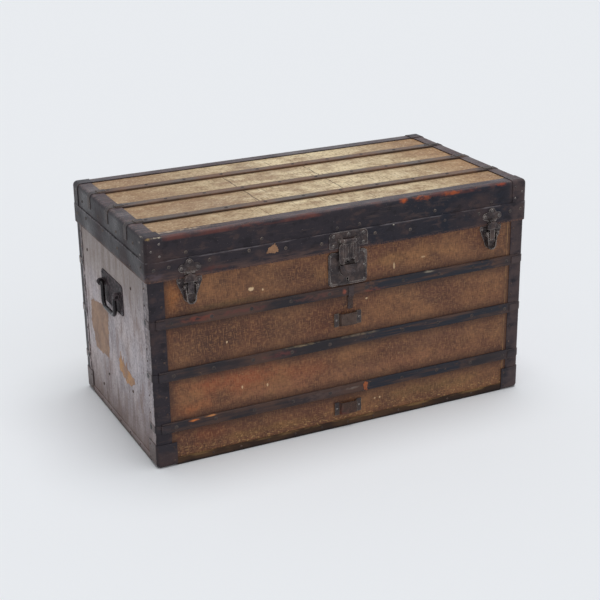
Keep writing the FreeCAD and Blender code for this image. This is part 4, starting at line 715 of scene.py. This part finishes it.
def black_iron(name, dark, bare_and_glint, roughness, rust_share, rubbed=(78, 67, 64), shine=0.3, flaked=0.0):
    f = Finish(name, shine, Metallic=0.2)
    flakes = f.noise(150, 6, roughness=0.7)
    clouds = f.noise(60, 5)
    fine = f.noise(700, 4)
    edges = f.times(f.rims(0.0020), f.fade(clouds, 0.34, 0.56))
    colour = f.coats(
        f.mix(f.fade(clouds, 0.40, 0.70), dark, rubbed),
        (fine, 0.54, 0.7, rust_share, (112, 82, 66)),
        (flakes, 0.52, 0.6, flaked, (124, 113, 114)),
    )
    # Edges in a bright tone: polished iron, and a painted glint.
    colour = f.tint(colour, bare_and_glint, edges, 0.8)
    rough = f.plus(f.times(fine, 0.30), f.less(roughness, f.times(edges, 0.12)))
    return f.finish(colour, rough, f.plus(fine, f.times(clouds, 0.6)), 0.0003)


def end_painted_iron(name):
    """Iron that is black on the front, and under the grey paint on the ends."""
    f = Finish(name, 0.2)
    black, rough, relief, brush, speck = black_paint(f)
    grey = f.mix(0.45, grey_paint(f)[0], (98, 84, 78))
    edges = f.times(f.rims(0.0012), f.fade(brush, 0.42, 0.60))
    on_end = f.fade(f.size(f.x), END_FACE, END_FACE + 0.002)
    past_corner = f.fade(f.size(f.y), 0.2255, 0.2230)
    colour = f.tint(black, grey, on_end, past_corner, f.fade(speck, 0.78, 0.46), 0.8)
    colour = f.tint(colour, (96, 86, 82), edges, 0.4)
    return f.finish(colour, rough, relief, 0.0004)


def lid_cap_iron():
    """Lid corners, black as the fibre beside them; upper edges rubbed bright, with a painted highlight."""
    f = Finish("worn_lid_cap_iron_painted_highlight", FIBRE_GLOSS)
    colour, rough, relief, brush = black_paint(f)[:4]
    edges = f.times(f.rims(0.0016), f.fade(f.z, LID_TOP - 0.012, LID_TOP), f.fade(brush, 0.42, 0.60))
    # Upper edges lightened: rubbed iron and a painted highlight.
    colour = f.tint(colour, (138, 126, 118), edges, 0.6)
    return f.finish(worn(f, colour, CAP_WEAR_AND_HIGHLIGHT, 200.0), rough, relief, 0.0005)


japan = black_iron("black_japan_iron", (50, 44, 46), (190, 182, 176), 0.18, 0.45,
                   rubbed=(84, 70, 66), shine=0.25, flaked=0.25)
clamp_iron = black_iron("lid_clamp_iron", (58, 53, 56), (150, 138, 122), 0.42, 0.5)
flaked_plate = black_iron("flaked_plate_iron", (34, 29, 34), (120, 112, 116), 0.4, 0.3,
                          rubbed=(58, 48, 52), shine=0.1, flaked=0.45)
cast = black_iron("cast_handle_iron", (26, 23, 26), (140, 136, 138), 0.1, 0.12,
                  rubbed=(40, 34, 37), shine=0.35)
dark_nail = black_iron("slat_nail_iron", (46, 41, 43), (92, 82, 77), 0.45, 0.4)
rusty = black_iron("rusty_nail_iron", (52, 44, 44), (120, 96, 84), 0.5, 0.8)
# Rivets in a light tone with bright edges: rubbed iron and painted glints.
glint = black_iron("rubbed_rivet_iron_painted_glint", (84, 78, 77), (190, 184, 178), 0.2, 0.3)
steel = black_iron("dull_steel", (120, 114, 108), (190, 184, 176), 0.32, 0.5)
for side in ("left", "right"):
    dress(japan, *(f"{side}_latch_{part}" for part in ("plate", "lever", "link", "catch")))
    dress(flaked_plate, f"{side}_handle_plate")
    dress(cast, f"{side}_handle_bail")
dress(japan, "lock_plate", "hasp_plate", "hasp", "hinge_base_leaves", "hinge_lid_leaves")
dress(clamp_iron, "lid_slat_clamps", "keeper_end_caps")
dress(lid_cap_iron(), "lid_corner_caps")
dress(steel, "hinge_pins", "hasp_pin", "lock_bolt", "lock_case")
dress(end_painted_iron("painted_clamp_iron"), "base_slat_clamps")
dress(end_painted_iron("painted_cap_iron"), "bottom_corner_caps")

# %% [markdown]
# ## Strap leather
# Two keepers on the front once held a strap. They are thick leather, dry and cracked, darker along their
# cut edges. Voronoi cells could draw the cracks, but at this size a narrow band of noise values looks the
# same and is simpler.

# %% Leather of the keepers
def strap_leather(name, brown, red_share):
    f = Finish(name, 0.4)
    clouds = f.noise(40, 5)
    pores = f.noise(620, 3)
    cracks = f.fade(f.away(f.noise(150, 4, (1, 1, 0.4)), 0.5), 0.016, 0.004)
    colour = f.mix(f.fade(clouds, 0.36, 0.66), brown, (70, 50, 42))
    colour = f.coats(colour, (clouds, 0.56, 0.40, red_share, (112, 58, 46)))
    colour = f.tint(colour, (44, 32, 30), cracks, 0.6)
    colour = f.coats(colour, (pores, 0.60, 0.72, 0.4, (140, 104, 80)))
    colour = f.tint(colour, (46, 38, 38), f.rims(0.0016), 0.7)
    height = f.less(f.plus(pores, clouds), f.times(cracks, 0.8))
    return f.finish(colour, f.fade(clouds, -0.6, 1.3), height, 0.0005)


dress(strap_leather("keeper_leather_upper", (80, 66, 58), 0.1), "strap_keeper_upper")
dress(strap_leather("keeper_leather_lower", (92, 58, 48), 0.7), "strap_keeper_lower")

# %% [markdown]
# ## Inside: boards and lining
# With the lid open one sees softwood boards at the rim, and a paper lining with a thin stripe, yellowed and
# spotted. The stripes are a sine along the wall, sharpened by a fade.

# %% Boards and lining
STRIPE = 0.014


def bare_board():
    f = Finish("old_softwood", 0.25)
    rings = f.noise(40, 6, (0.06, 1, 1))
    pores = f.noise(500, 3, (0.04, 1, 1))
    colour = f.coats(
        f.mix(f.fade(rings, 0.36, 0.64), (186, 148, 104), (146, 106, 70)),
        (pores, 0.56, 0.7, 0.5, (104, 74, 50)),
        (f.noise(12, 4), 0.56, 0.72, 0.4, (110, 88, 72)),
    )
    return f.finish(colour, f.fade(rings, -0.6, 1.3), f.plus(rings, pores), 0.0005)


def striped_lining():
    f = Finish("striped_paper_lining", 0.2)
    stains = f.noise(8, 6)
    spots = f.noise(160, 2)
    facing = f.put("ShaderNodeSeparateXYZ", {0: f.put("ShaderNodeTexCoord", {}).outputs["Normal"]}).outputs
    on_end = f.fade(f.size(facing[0]), 0.4, 0.6)
    across = f.plus(f.times(f.y, on_end), f.times(f.x, f.less(1.0, on_end)))
    stripes = f.math("SINE", f.times(across, math.tau / STRIPE))
    colour = f.coats(
        f.mix(f.fade(stains, 0.36, 0.66), (226, 212, 184), (206, 184, 148)),
        (stripes, 0.62, 0.8, 0.4, (140, 124, 130)),
        (stains, 0.58, 0.72, 0.5, (170, 138, 100)),
        (spots, 0.7, 0.78, 0.6, (146, 104, 68)),
    )
    height = f.plus(f.noise(600, 3), f.times(f.noise(26, 3), 2.0))
    return f.finish(colour, f.fade(stains, 1.8, -0.4), height, 0.0005)


dress(bare_board(), "bottom_board", "front_board", "back_board", "left_end_board", "right_end_board",
      "rim_lips", "lid_top_board", "lid_front_rail", "lid_back_rail", "lid_left_rail", "lid_right_rail")
dress(striped_lining(), "base_lining", "lid_lining")

# %% [markdown]
# ## Modelling helpers
# Operators act on whatever is selected, so every piece starts by clearing the selection. Parts of a mesh are
# then selected by their place, which holds better than counting faces.

# %% Helpers for modelling
SMOOTH_BELOW = math.radians(50)
CAST_FROM = 0.05


def object_mode():
    if bpy.context.mode != "OBJECT":
        bpy.ops.object.mode_set(mode="OBJECT")


def clear_selection():
    object_mode()
    bpy.ops.object.select_all(action="DESELECT")


def choose(piece, kind, wanted):
    """Select the vertices or the faces of a piece whose place is wanted, and go into edit mode."""
    object_mode()
    mesh = piece.data
    for group in (mesh.vertices, mesh.edges, mesh.polygons):
        group.foreach_set("select", [False] * len(group))
    if kind == "VERT":
        mesh.vertices.foreach_set("select", [wanted(vertex.co) for vertex in mesh.vertices])
    else:
        mesh.polygons.foreach_set("select", [wanted(face.center) for face in mesh.polygons])
    bpy.context.tool_settings.mesh_select_mode = [kind == name for name in ("VERT", "EDGE", "FACE")]
    bpy.ops.object.mode_set(mode="EDIT")


def settle():
    """Move the place, turn and size of the active piece into its mesh."""
    bpy.ops.object.transform_apply(location=True, rotation=True, scale=True)


def thicken(piece, thickness):
    """Give a flat piece a thickness on the side that it faces."""
    object_mode()
    wall = piece.modifiers.new("thickness", "SOLIDIFY")
    wall.thickness = thickness
    wall.offset = 1
    bpy.ops.object.modifier_apply(modifier=wall.name)


def outward():
    """Turn every face of the active piece outwards and shade its soft edges smooth, in object mode."""
    bpy.ops.object.mode_set(mode="EDIT")
    bpy.ops.mesh.select_all(action="SELECT")
    bpy.ops.mesh.normals_make_consistent(inside=False)
    bpy.ops.object.mode_set(mode="OBJECT")
    bpy.ops.object.shade_smooth_by_angle(angle=SMOOTH_BELOW)


def seat(node, point, facing):
    """The place on a CAD node that lies straight under a point, seen against the way it faces."""
    hit, place = nodes[node].ray_cast(Vector(point) + facing * CAST_FROM, -facing)[:2]
    if not hit:
        raise ValueError(f"nothing of {node} lies under {tuple(point)}")
    return place


def own(piece, name, material, body):
    piece.name = name
    piece.data.name = name
    piece.data.materials.clear()
    piece.data.materials.append(material)
    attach(piece, body)
    print(name, len(piece.data.polygons), "faces on", body)
    return piece


# %% [markdown]
# ## Nail and rivet heads
# Hundreds of heads hold the trunk together, so one head is modelled with few faces: a disc, pulled up and
# drawn in three times. Its copies are set on the surface below by casting a ray, and the copies of a row are
# joined.

# %% One domed head, and a way to set many
HEAD_STEPS = ((0.40, 0.90), (0.36, 0.72), (0.24, 0.52))


def domed_head(name, radius, rise, sides=10):
    clear_selection()
    bpy.ops.mesh.primitive_circle_add(vertices=sides, radius=radius, fill_type="NGON")
    head = bpy.context.object
    head.name = name
    bpy.ops.object.mode_set(mode="EDIT")
    bpy.ops.mesh.select_all(action="SELECT")
    for lift, draw in HEAD_STEPS:
        bpy.ops.mesh.extrude_region_move(TRANSFORM_OT_translate={"value": (0, 0, lift * rise)})
        bpy.ops.transform.resize(value=(draw, draw, 1), center_override=(0, 0, 0))
    outward()
    return head


def set_heads(name, head, spots, material, body):
    """Copies of a head at spots, each a node, a point near its surface and the way the head faces."""
    clear_selection()
    for node, point, facing in spots:
        copy = bpy.data.objects.new(name, head.data.copy())
        bpy.context.collection.objects.link(copy)
        turn = TOP.rotation_difference(facing).to_matrix().to_4x4()
        copy.data.transform(Matrix.Translation(seat(node, point, facing)) @ turn)
        copy.select_set(True)
        bpy.context.view_layer.objects.active = copy
    bpy.ops.object.join()
    return own(bpy.context.object, name, material, body)


def row_of(node, places, *facings):
    """Spots on upright faces of the trunk, from places along a face and their heights."""
    spots = []
    for along, height in places:
        for facing in facings:
            point = (along, facing.y * FRONT_FACE) if facing.y else (facing.x * END_FACE, along)
            spots.append((node, Vector((*point, height)), facing))
    return spots


def mirrored(places):
    return [(sign * along, height) for along, height in places for sign in BOTH]


slat_nail = domed_head("slat_nail", 0.0042, 0.0011)
small_nail = domed_head("small_nail", 0.0024, 0.0010, 8)
rivet = domed_head("rivet", 0.0036, 0.0016)
big_nail = domed_head("big_nail", 0.0064, 0.0015)
heads = (slat_nail, small_nail, rivet, big_nail)
print("heads of", [len(head.data.polygons) for head in heads], "faces")

# %% Nails of the slats
SLAT_NAILS = (-0.388, -0.303, -0.217, -0.130, -0.043, 0.043, 0.130, 0.217, 0.303, 0.388)
LOST_NAIL = 0.043

spots = []
for row, height in zip(("lower", "middle", "upper"), FRONT_SLATS):
    kept = [x for x in SLAT_NAILS if row != "lower" or x != LOST_NAIL]
    spots += [(f"front_slat_{row}", (x, -FRONT_FACE, height), FRONT) for x in kept]
set_heads("front_slat_nails", slat_nail, spots, dark_nail, "base")
spots = [("back_slats", (x, FRONT_FACE, height), BACK) for x in SLAT_NAILS for height in FRONT_SLATS]
set_heads("back_slat_nails", slat_nail, spots, dark_nail, "base")
spots = []
for row, depth in zip(("front", "middle", "back"), TOP_SLATS):
    spots += [(f"top_slat_{row}", (x, depth, LID_TOP), TOP) for x in SLAT_NAILS]
set_heads("top_slat_nails", slat_nail, spots, dark_nail, "lid")

# %% [markdown]
# ## Rivets of the lid
# Rivets hold the lid's bands to the boards. They were set by eye, so their heights wander. Their places are
# read off the photograph for the front and the left end, and mirrored to the sides that it doesn't show.

# %% Rivets of the bands and lid corners
BAND_RIVETS = (
    (-0.418, 0.423), (-0.387, 0.425), (-0.303, 0.427), (-0.219, 0.432), (-0.140, 0.424), (-0.060, 0.420),
    (0.062, 0.424), (0.145, 0.419), (0.228, 0.426), (0.312, 0.428), (0.391, 0.422), (0.418, 0.424),
)
SIDE_BAND_RIVETS = (
    (0.205, 0.420), (0.142, 0.426), (0.025, 0.433), (-0.065, 0.421), (-0.139, 0.405), (-0.205, 0.424),
)
EDGE_RIVETS = (
    (-0.350, 0.449), (-0.190, 0.451), (-0.024, 0.447), (0.027, 0.448), (0.205, 0.450), (0.345, 0.449),
)
SIDE_EDGE_RIVETS = ((0.170, 0.455), (0.062, 0.451), (-0.055, 0.452), (-0.159, 0.459))
LID_CAP_RIVETS = ((0.404, 0.449), (0.404, 0.474), (0.421, 0.461))
LONGER = 0.201
END_CAP_RIVETS = [(along - LONGER, height) for along, height in LID_CAP_RIVETS]
HINGE_FROM = 0.2
HINGE_TO = 0.33
BACK_BAND_RIVETS = [(x, z) for x, z in BAND_RIVETS if abs(x) < HINGE_FROM or abs(x) > HINGE_TO]

spots = row_of("lid_front_band", BAND_RIVETS, FRONT)
spots += row_of("lid_back_band", BACK_BAND_RIVETS, BACK)
spots += row_of("lid_left_band", SIDE_BAND_RIVETS, LEFT)
spots += row_of("lid_right_band", SIDE_BAND_RIVETS, RIGHT)
spots += row_of("lid_edge_bindings", EDGE_RIVETS, FRONT, BACK)
spots += row_of("lid_edge_bindings", SIDE_EDGE_RIVETS, LEFT, RIGHT)
set_heads("lid_band_rivets", rivet, spots, clamp_iron, "lid")
spots = row_of("lid_corner_caps", mirrored(LID_CAP_RIVETS), FRONT, BACK)
spots += row_of("lid_corner_caps", mirrored(END_CAP_RIVETS), LEFT, RIGHT)
set_heads("lid_cap_rivets", small_nail, spots, japan, "lid")

# %% [markdown]
# ## Rivets of the fittings
# The lock, the hasp, the draw bolts, the handles and the hinges are each riveted through the boards. A rivet
# must ride on the body that carries its fitting, or it would hang in the air when the lid opens.

# %% Rivets of lock, draw bolts, handles and hinges
LATCH_X = middle("right_latch_catch").x
HINGE_X = 0.264
BASE_HINGE_RIVETS = ((HINGE_X - 0.016, 0.374), (HINGE_X + 0.016, 0.374))
LID_HINGE_RIVETS = ((HINGE_X - 0.016, 0.422), (HINGE_X + 0.016, 0.422))
LOCK_RIVETS = ((0.038, 0.330), (0.038, 0.360), (0.038, 0.388))
HASP_RIVETS = ((-0.034, 0.411), (-0.034, 0.431), (0, 0.432), (0.034, 0.411), (0.034, 0.431))
LATCH_RIVETS = ((-0.0205, 0.389), (0.0205, 0.389))
CATCH_RIVETS = ((-0.0172, 0.418), (0.0172, 0.418), (0, 0.430))
HANDLE_RIVETS = ((0.0605, 0.279), (0.0605, 0.331))
KEEPER_RIVETS = [(0.0262, middle(f"strap_keeper_{row}").z) for row in ("upper", "lower")]

base_spots = row_of("lock_plate", mirrored(LOCK_RIVETS), FRONT)
base_spots += row_of("keeper_end_caps", mirrored(KEEPER_RIVETS), FRONT)
base_spots += row_of("hinge_base_leaves", mirrored(BASE_HINGE_RIVETS), BACK)
lid_spots = row_of("hasp_plate", HASP_RIVETS, FRONT)
lid_spots += row_of("hinge_lid_leaves", mirrored(LID_HINGE_RIVETS), BACK)
for side, sign in SIDES:
    latch = sign * LATCH_X
    base_spots += row_of(f"{side}_latch_plate", [(latch + off, z) for off, z in LATCH_RIVETS], FRONT)
    lid_spots += row_of(f"{side}_latch_catch", [(latch + off, z) for off, z in CATCH_RIVETS], FRONT)
# The rivets of the fittings are light, with painted glints on their edges.
set_heads("base_fitting_rivets", small_nail, base_spots, glint, "base")
set_heads("lid_fitting_rivets", rivet, lid_spots, glint, "lid")
for side, sign in SIDES:
    spots = row_of(f"{side}_handle_plate", mirrored(HANDLE_RIVETS), sign * RIGHT)
    set_heads(f"{side}_handle_rivets", rivet, spots, cast, "base")

# %% [markdown]
# ## Nails of the corners
# Cut nails hold the fibre corners and the strip along the floor, and larger ones hold the slat clamps to the
# ends. They are rusty or black, where the rivets of the fittings are rubbed bright and carry painted glints.

# %% Nails of corners, floor strip and ends
LEG_NAILS = (0.116, 0.153, 0.228, 0.253, 0.345, 0.380)
CAP_NAILS = (0.013, 0.042)
END_NAILS = ((0.064, 0.093), (-0.095, 0.117), (0.165, 0.348), (-0.120, 0.352), (0.110, 0.052))
LONG_ROW = range(-5, 6)
SHORT_ROW = range(-2, 3)
STRIP_STEP = 0.062
STRIP_Z = 0.0095
CLAMP_NAIL_Y = 0.2045
CORNER_ROWS = (
    ("corner_bindings", 0.4045, 0.2035, LEG_NAILS),
    ("bottom_corner_caps", 0.394, 0.193, CAP_NAILS),
)

spots = []
for node, on_front, on_end, heights in CORNER_ROWS:
    spots += row_of(node, mirrored((on_front, z) for z in heights), FRONT, BACK)
    spots += row_of(node, mirrored((on_end, z) for z in heights), LEFT, RIGHT)
spots += row_of("bottom_bindings", [(i * STRIP_STEP, STRIP_Z) for i in LONG_ROW], FRONT, BACK)
spots += row_of("bottom_bindings", [(i * STRIP_STEP, STRIP_Z) for i in SHORT_ROW], LEFT, RIGHT)
set_heads("corner_nails", small_nail, spots, rusty, "base")
spots = row_of("base_slat_clamps", mirrored((CLAMP_NAIL_Y, z) for z in FRONT_SLATS), LEFT, RIGHT)
set_heads("clamp_nails", big_nail, spots, cast, "base")
spots = row_of("left_end_canvas", END_NAILS, LEFT) + row_of("right_end_canvas", END_NAILS, RIGHT)
set_heads("end_nails", rivet, spots, rusty, "base")

# %% Tacks of the lining
TACK_STEP = 0.075
TACK_X = 0.400
TACK_Y = 0.200

for body, height in (("base", 0.362), ("lid", 0.420)):
    spots = []
    for sign in BOTH:
        spots += [((i * TACK_STEP, sign * TACK_Y, height), -sign * BACK) for i in LONG_ROW]
        spots += [((sign * TACK_X, i * TACK_STEP, height), -sign * RIGHT) for i in SHORT_ROW]
    spots = [(f"{body}_lining", *spot) for spot in spots]
    set_heads(f"{body}_lining_tacks", small_nail, spots, steel, body)

# %% [markdown]
# ## Scraps
# The left end keeps what is left of two paper labels, with nothing on them that can be read. A strip of
# fibre is torn off the front band, and a slat is broken to the bare wood. Each is a thin scrap with a torn
# outline: a grid of faces is cut back to the outline, its border is shaken, and Solidify makes it thick.

# %% A torn scrap
LEFT_FACING = Matrix(((0, 0, -1), (-1, 0, 0), (0, 1, 0))).to_4x4()
FRONT_FACING = Matrix(((1, 0, 0), (0, 0, -1), (0, 1, 0))).to_4x4()
SHAKE = 0.45


def inside(point, outline):
    """Whether a point lies inside an outline, by counting the sides to its right."""
    odd = False
    for (x1, y1), (x2, y2) in zip(outline, outline[1:] + outline[:1]):
        if (y1 > point.y) != (y2 > point.y) and point.x < x1 + (point.y - y1) * (x2 - x1) / (y2 - y1):
            odd = not odd
    return odd


def scrap(outline, cell, turn, stand, thickness, seed):
    """A torn scrap. The outline is in the scrap's own plane, and stand is the place of that plane."""
    clear_selection()
    low = Vector([min(p[i] for p in outline) - cell for i in (0, 1)])
    high = Vector([max(p[i] for p in outline) + cell for i in (0, 1)])
    counts = [math.ceil((high[i] - low[i]) / cell) for i in (0, 1)]
    bpy.ops.mesh.primitive_grid_add(x_subdivisions=counts[0], y_subdivisions=counts[1], size=1)
    piece = bpy.context.object
    piece.scale = (counts[0] * cell, counts[1] * cell, 1)
    piece.location = (*((low + high) / 2), 0)
    settle()
    choose(piece, "FACE", lambda centre: not inside(centre, outline))
    bpy.ops.mesh.delete(type="FACE")
    bpy.ops.mesh.select_all(action="SELECT")
    bpy.ops.mesh.region_to_loop()
    bpy.ops.transform.vertex_random(offset=SHAKE * cell, uniform=1.0, normal=0.0, seed=seed)
    bpy.ops.mesh.select_all(action="SELECT")
    bpy.ops.transform.resize(value=(1, 1, 0), center_override=(0, 0, 0))
    thicken(piece, thickness)
    piece.matrix_world = Matrix.Translation(stand) @ turn
    settle()
    outward()
    return piece


# %% Paper and fibre of the scraps
def scrap_finish(name, ground, dark, pale):
    f = Finish(name, 0.2)
    clouds = f.noise(34, 5)
    fibres = f.noise(420, 3, (1, 1, 0.3))
    colour = f.mix(f.fade(clouds, 0.38, 0.66), ground, dark)
    colour = f.coats(colour, (fibres, 0.54, 0.70, 0.5, dark), (fibres, 0.44, 0.32, 0.5, pale))
    return f.finish(colour, f.fade(clouds, 1.8, -0.4), f.plus(fibres, clouds), 0.0003)


tan_paper = scrap_finish("tan_label_paper", (168, 138, 117), (134, 106, 90), (196, 170, 150))
gold_paper = scrap_finish("yellow_label_paper", (190, 144, 100), (152, 118, 98), (218, 198, 170))
bare_fibre = scrap_finish("bare_fibre", (160, 122, 92), (106, 78, 64), (190, 152, 116))
raw_wood = scrap_finish("raw_slat_wood", (196, 112, 66), (140, 78, 52), (224, 160, 110))

# %% Label remnants, torn band and broken slat
LABEL = [
    (-0.162, 0.236), (-0.098, 0.247), (-0.042, 0.252), (-0.051, 0.191), (-0.056, 0.132),
    (-0.104, 0.130), (-0.150, 0.129), (-0.151, 0.155), (-0.160, 0.162), (-0.171, 0.180),
]
FRAGMENT = [
    (0.026, 0.183), (0.032, 0.167), (0.038, 0.160), (0.043, 0.178), (0.047, 0.160), (0.056, 0.156),
    (0.061, 0.171), (0.065, 0.155), (0.079, 0.154), (0.094, 0.148), (0.108, 0.150), (0.109, 0.138),
    (0.099, 0.134), (0.083, 0.123), (0.066, 0.125), (0.057, 0.119), (0.047, 0.128), (0.036, 0.126),
    (0.030, 0.134), (0.018, 0.134), (0.010, 0.142), (0.019, 0.150), (0.012, 0.160), (0.021, 0.164),
]
TORN = [(-0.182, 0.420), (-0.177, 0.431), (-0.163, 0.4375), (-0.155, 0.421), (-0.165, 0.418)]
BREAK = [(0.037, 0.077), (0.044, 0.076), (0.046, 0.094), (0.041, 0.096), (0.036, 0.092)]
ON_END = Vector((-END_FACE, 0, 0))
ON_BAND = Vector((0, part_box("lid_front_band")[0].y, 0))
ON_SLAT = Vector((0, SLAT_FACE, 0))
SCRAPS = (
    ("label_remnant", (LABEL, 0.004, LEFT_FACING, ON_END, 0.0003, 3), tan_paper, "base", "end_canvas"),
    ("yellow_fragment", (FRAGMENT, 0.002, LEFT_FACING, ON_END, 0.0003, 5), gold_paper, "base", "end_canvas"),
    ("torn_band_patch", (TORN, 0.002, FRONT_FACING, ON_BAND, 0.0004, 7), bare_fibre, "lid", "band_fibre"),
    ("slat_break", (BREAK, 0.0015, FRONT_FACING, ON_SLAT, 0.0005, 9), raw_wood, "base", "slat_wood"),
)
for name, shape, material, body, slot in SCRAPS:
    own(scrap(*shape), name, material, body)

# %% [markdown]
# ## What is left of the strap
# A stub of the old strap still hangs from under the lock, over the upper slat and down to the cloth. It is a
# narrow grid laid on the slat, whose lower rows are pushed back behind the slat's edge, so that it drops
# onto the canvas.

# %% Strap stub
STUB_HALF = 0.0062
STUB_TOP = 0.3185
STUB_LOW = 0.2680
STUB_X = 0.0065
STUB_ROWS = 22
STUB_COLUMNS = 5
STUB_THICK = 0.0011
STUB_GAP = 0.0002
TORN_ROWS = 0.004
TORN_SHAKE = 0.0016
SLAT_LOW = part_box("front_slat_upper")[0].z
BEND_TOP = SLAT_LOW - 0.0005
BEND_LOW = SLAT_LOW - 0.0035
CLOTH_Y = -FRONT_FACE
DROP = CLOTH_Y - SLAT_FACE

clear_selection()
bpy.ops.mesh.primitive_grid_add(x_subdivisions=STUB_COLUMNS, y_subdivisions=STUB_ROWS, size=1)
stub = bpy.context.object
stub.scale = (2 * STUB_HALF, STUB_TOP - STUB_LOW, 1)
settle()
stub.matrix_world = Matrix.Translation((STUB_X, SLAT_FACE, (STUB_TOP + STUB_LOW) / 2)) @ FRONT_FACING
settle()
choose(stub, "VERT", lambda co: co.z < BEND_LOW)
bpy.ops.transform.translate(value=(0, DROP - STUB_GAP, 0))
choose(stub, "VERT", lambda co: BEND_LOW <= co.z < BEND_TOP)
bpy.ops.transform.translate(value=(0, DROP / 3, 0))
choose(stub, "VERT", lambda co: co.z < STUB_LOW + TORN_ROWS)
bpy.ops.transform.vertex_random(offset=TORN_SHAKE, uniform=1.0, normal=0.0, seed=11)
bpy.ops.transform.resize(value=(1, 0, 1), center_override=(STUB_X, CLOTH_Y - STUB_GAP, STUB_LOW))
thicken(stub, STUB_THICK)
outward()
own(stub, "strap_stub", strap_leather("stub_leather", (54, 48, 50), 0.1), "base")

# %% [markdown]
# ## The last cells
# The stage is a pale floor under a soft light, with a weaker one from the front.

# %% Stage and light
FLOOR_SIZE = 40.0
FLOOR_TONE = (237, 240, 244)
SKY_TONE = (232, 236, 240)
AMBIENT = 0.42
KEY_FROM = Vector((0.10, 0.0, 1.0))
KEY_POWER = 1.795
KEY_SPREAD = math.radians(44)
FILL_FROM = Vector((0.075, -0.863, 0.5))
FILL_POWER = 0.338
FILL_SPREAD = math.radians(70)

clear_selection()
bpy.ops.mesh.primitive_plane_add(size=FLOOR_SIZE, location=(0, 0, 0))
floor = bpy.context.object
floor.name = "studio_floor"
paper = Finish("pale_floor", 0.0, Roughness=1.0, Base_Color=tone(*FLOOR_TONE))
floor.data.materials.append(paper.material)


def soft_light(name, come_from, power, spread):
    sun = bpy.data.lights.new(name, "SUN")
    sun.energy = power
    sun.angle = spread
    lamp = bpy.data.objects.new(name, sun)
    bpy.context.collection.objects.link(lamp)
    lamp.rotation_mode = "QUATERNION"
    lamp.rotation_quaternion = come_from.to_track_quat("Z", "Y")


soft_light("soft_key", KEY_FROM, KEY_POWER, KEY_SPREAD)
soft_light("front_fill", FILL_FROM, FILL_POWER, FILL_SPREAD)

world = bpy.data.worlds.new("studio")
bpy.context.scene.world = world
world.use_nodes = True
air = world.node_tree
air.nodes.clear()
light = put(air, "ShaderNodeBackground", {"Strength": AMBIENT}).outputs[0]
seen = put(air, "ShaderNodeBackground", {"Color": tone(*SKY_TONE)}).outputs[0]
ray = put(air, "ShaderNodeLightPath", {}).outputs
shown = put(air, "ShaderNodeMath", {0: ray["Is Camera Ray"], 1: ray["Is Glossy Ray"]}, operation="MAXIMUM")
blend = put(air, "ShaderNodeMixShader", {0: shown.outputs[0], 1: light, 2: seen})
put(air, "ShaderNodeOutputWorld", {0: blend.outputs[0]})
bpy.context.scene.view_settings.view_transform = "Standard"

# %% Remove the template heads
for head in heads:
    bpy.data.objects.remove(head)
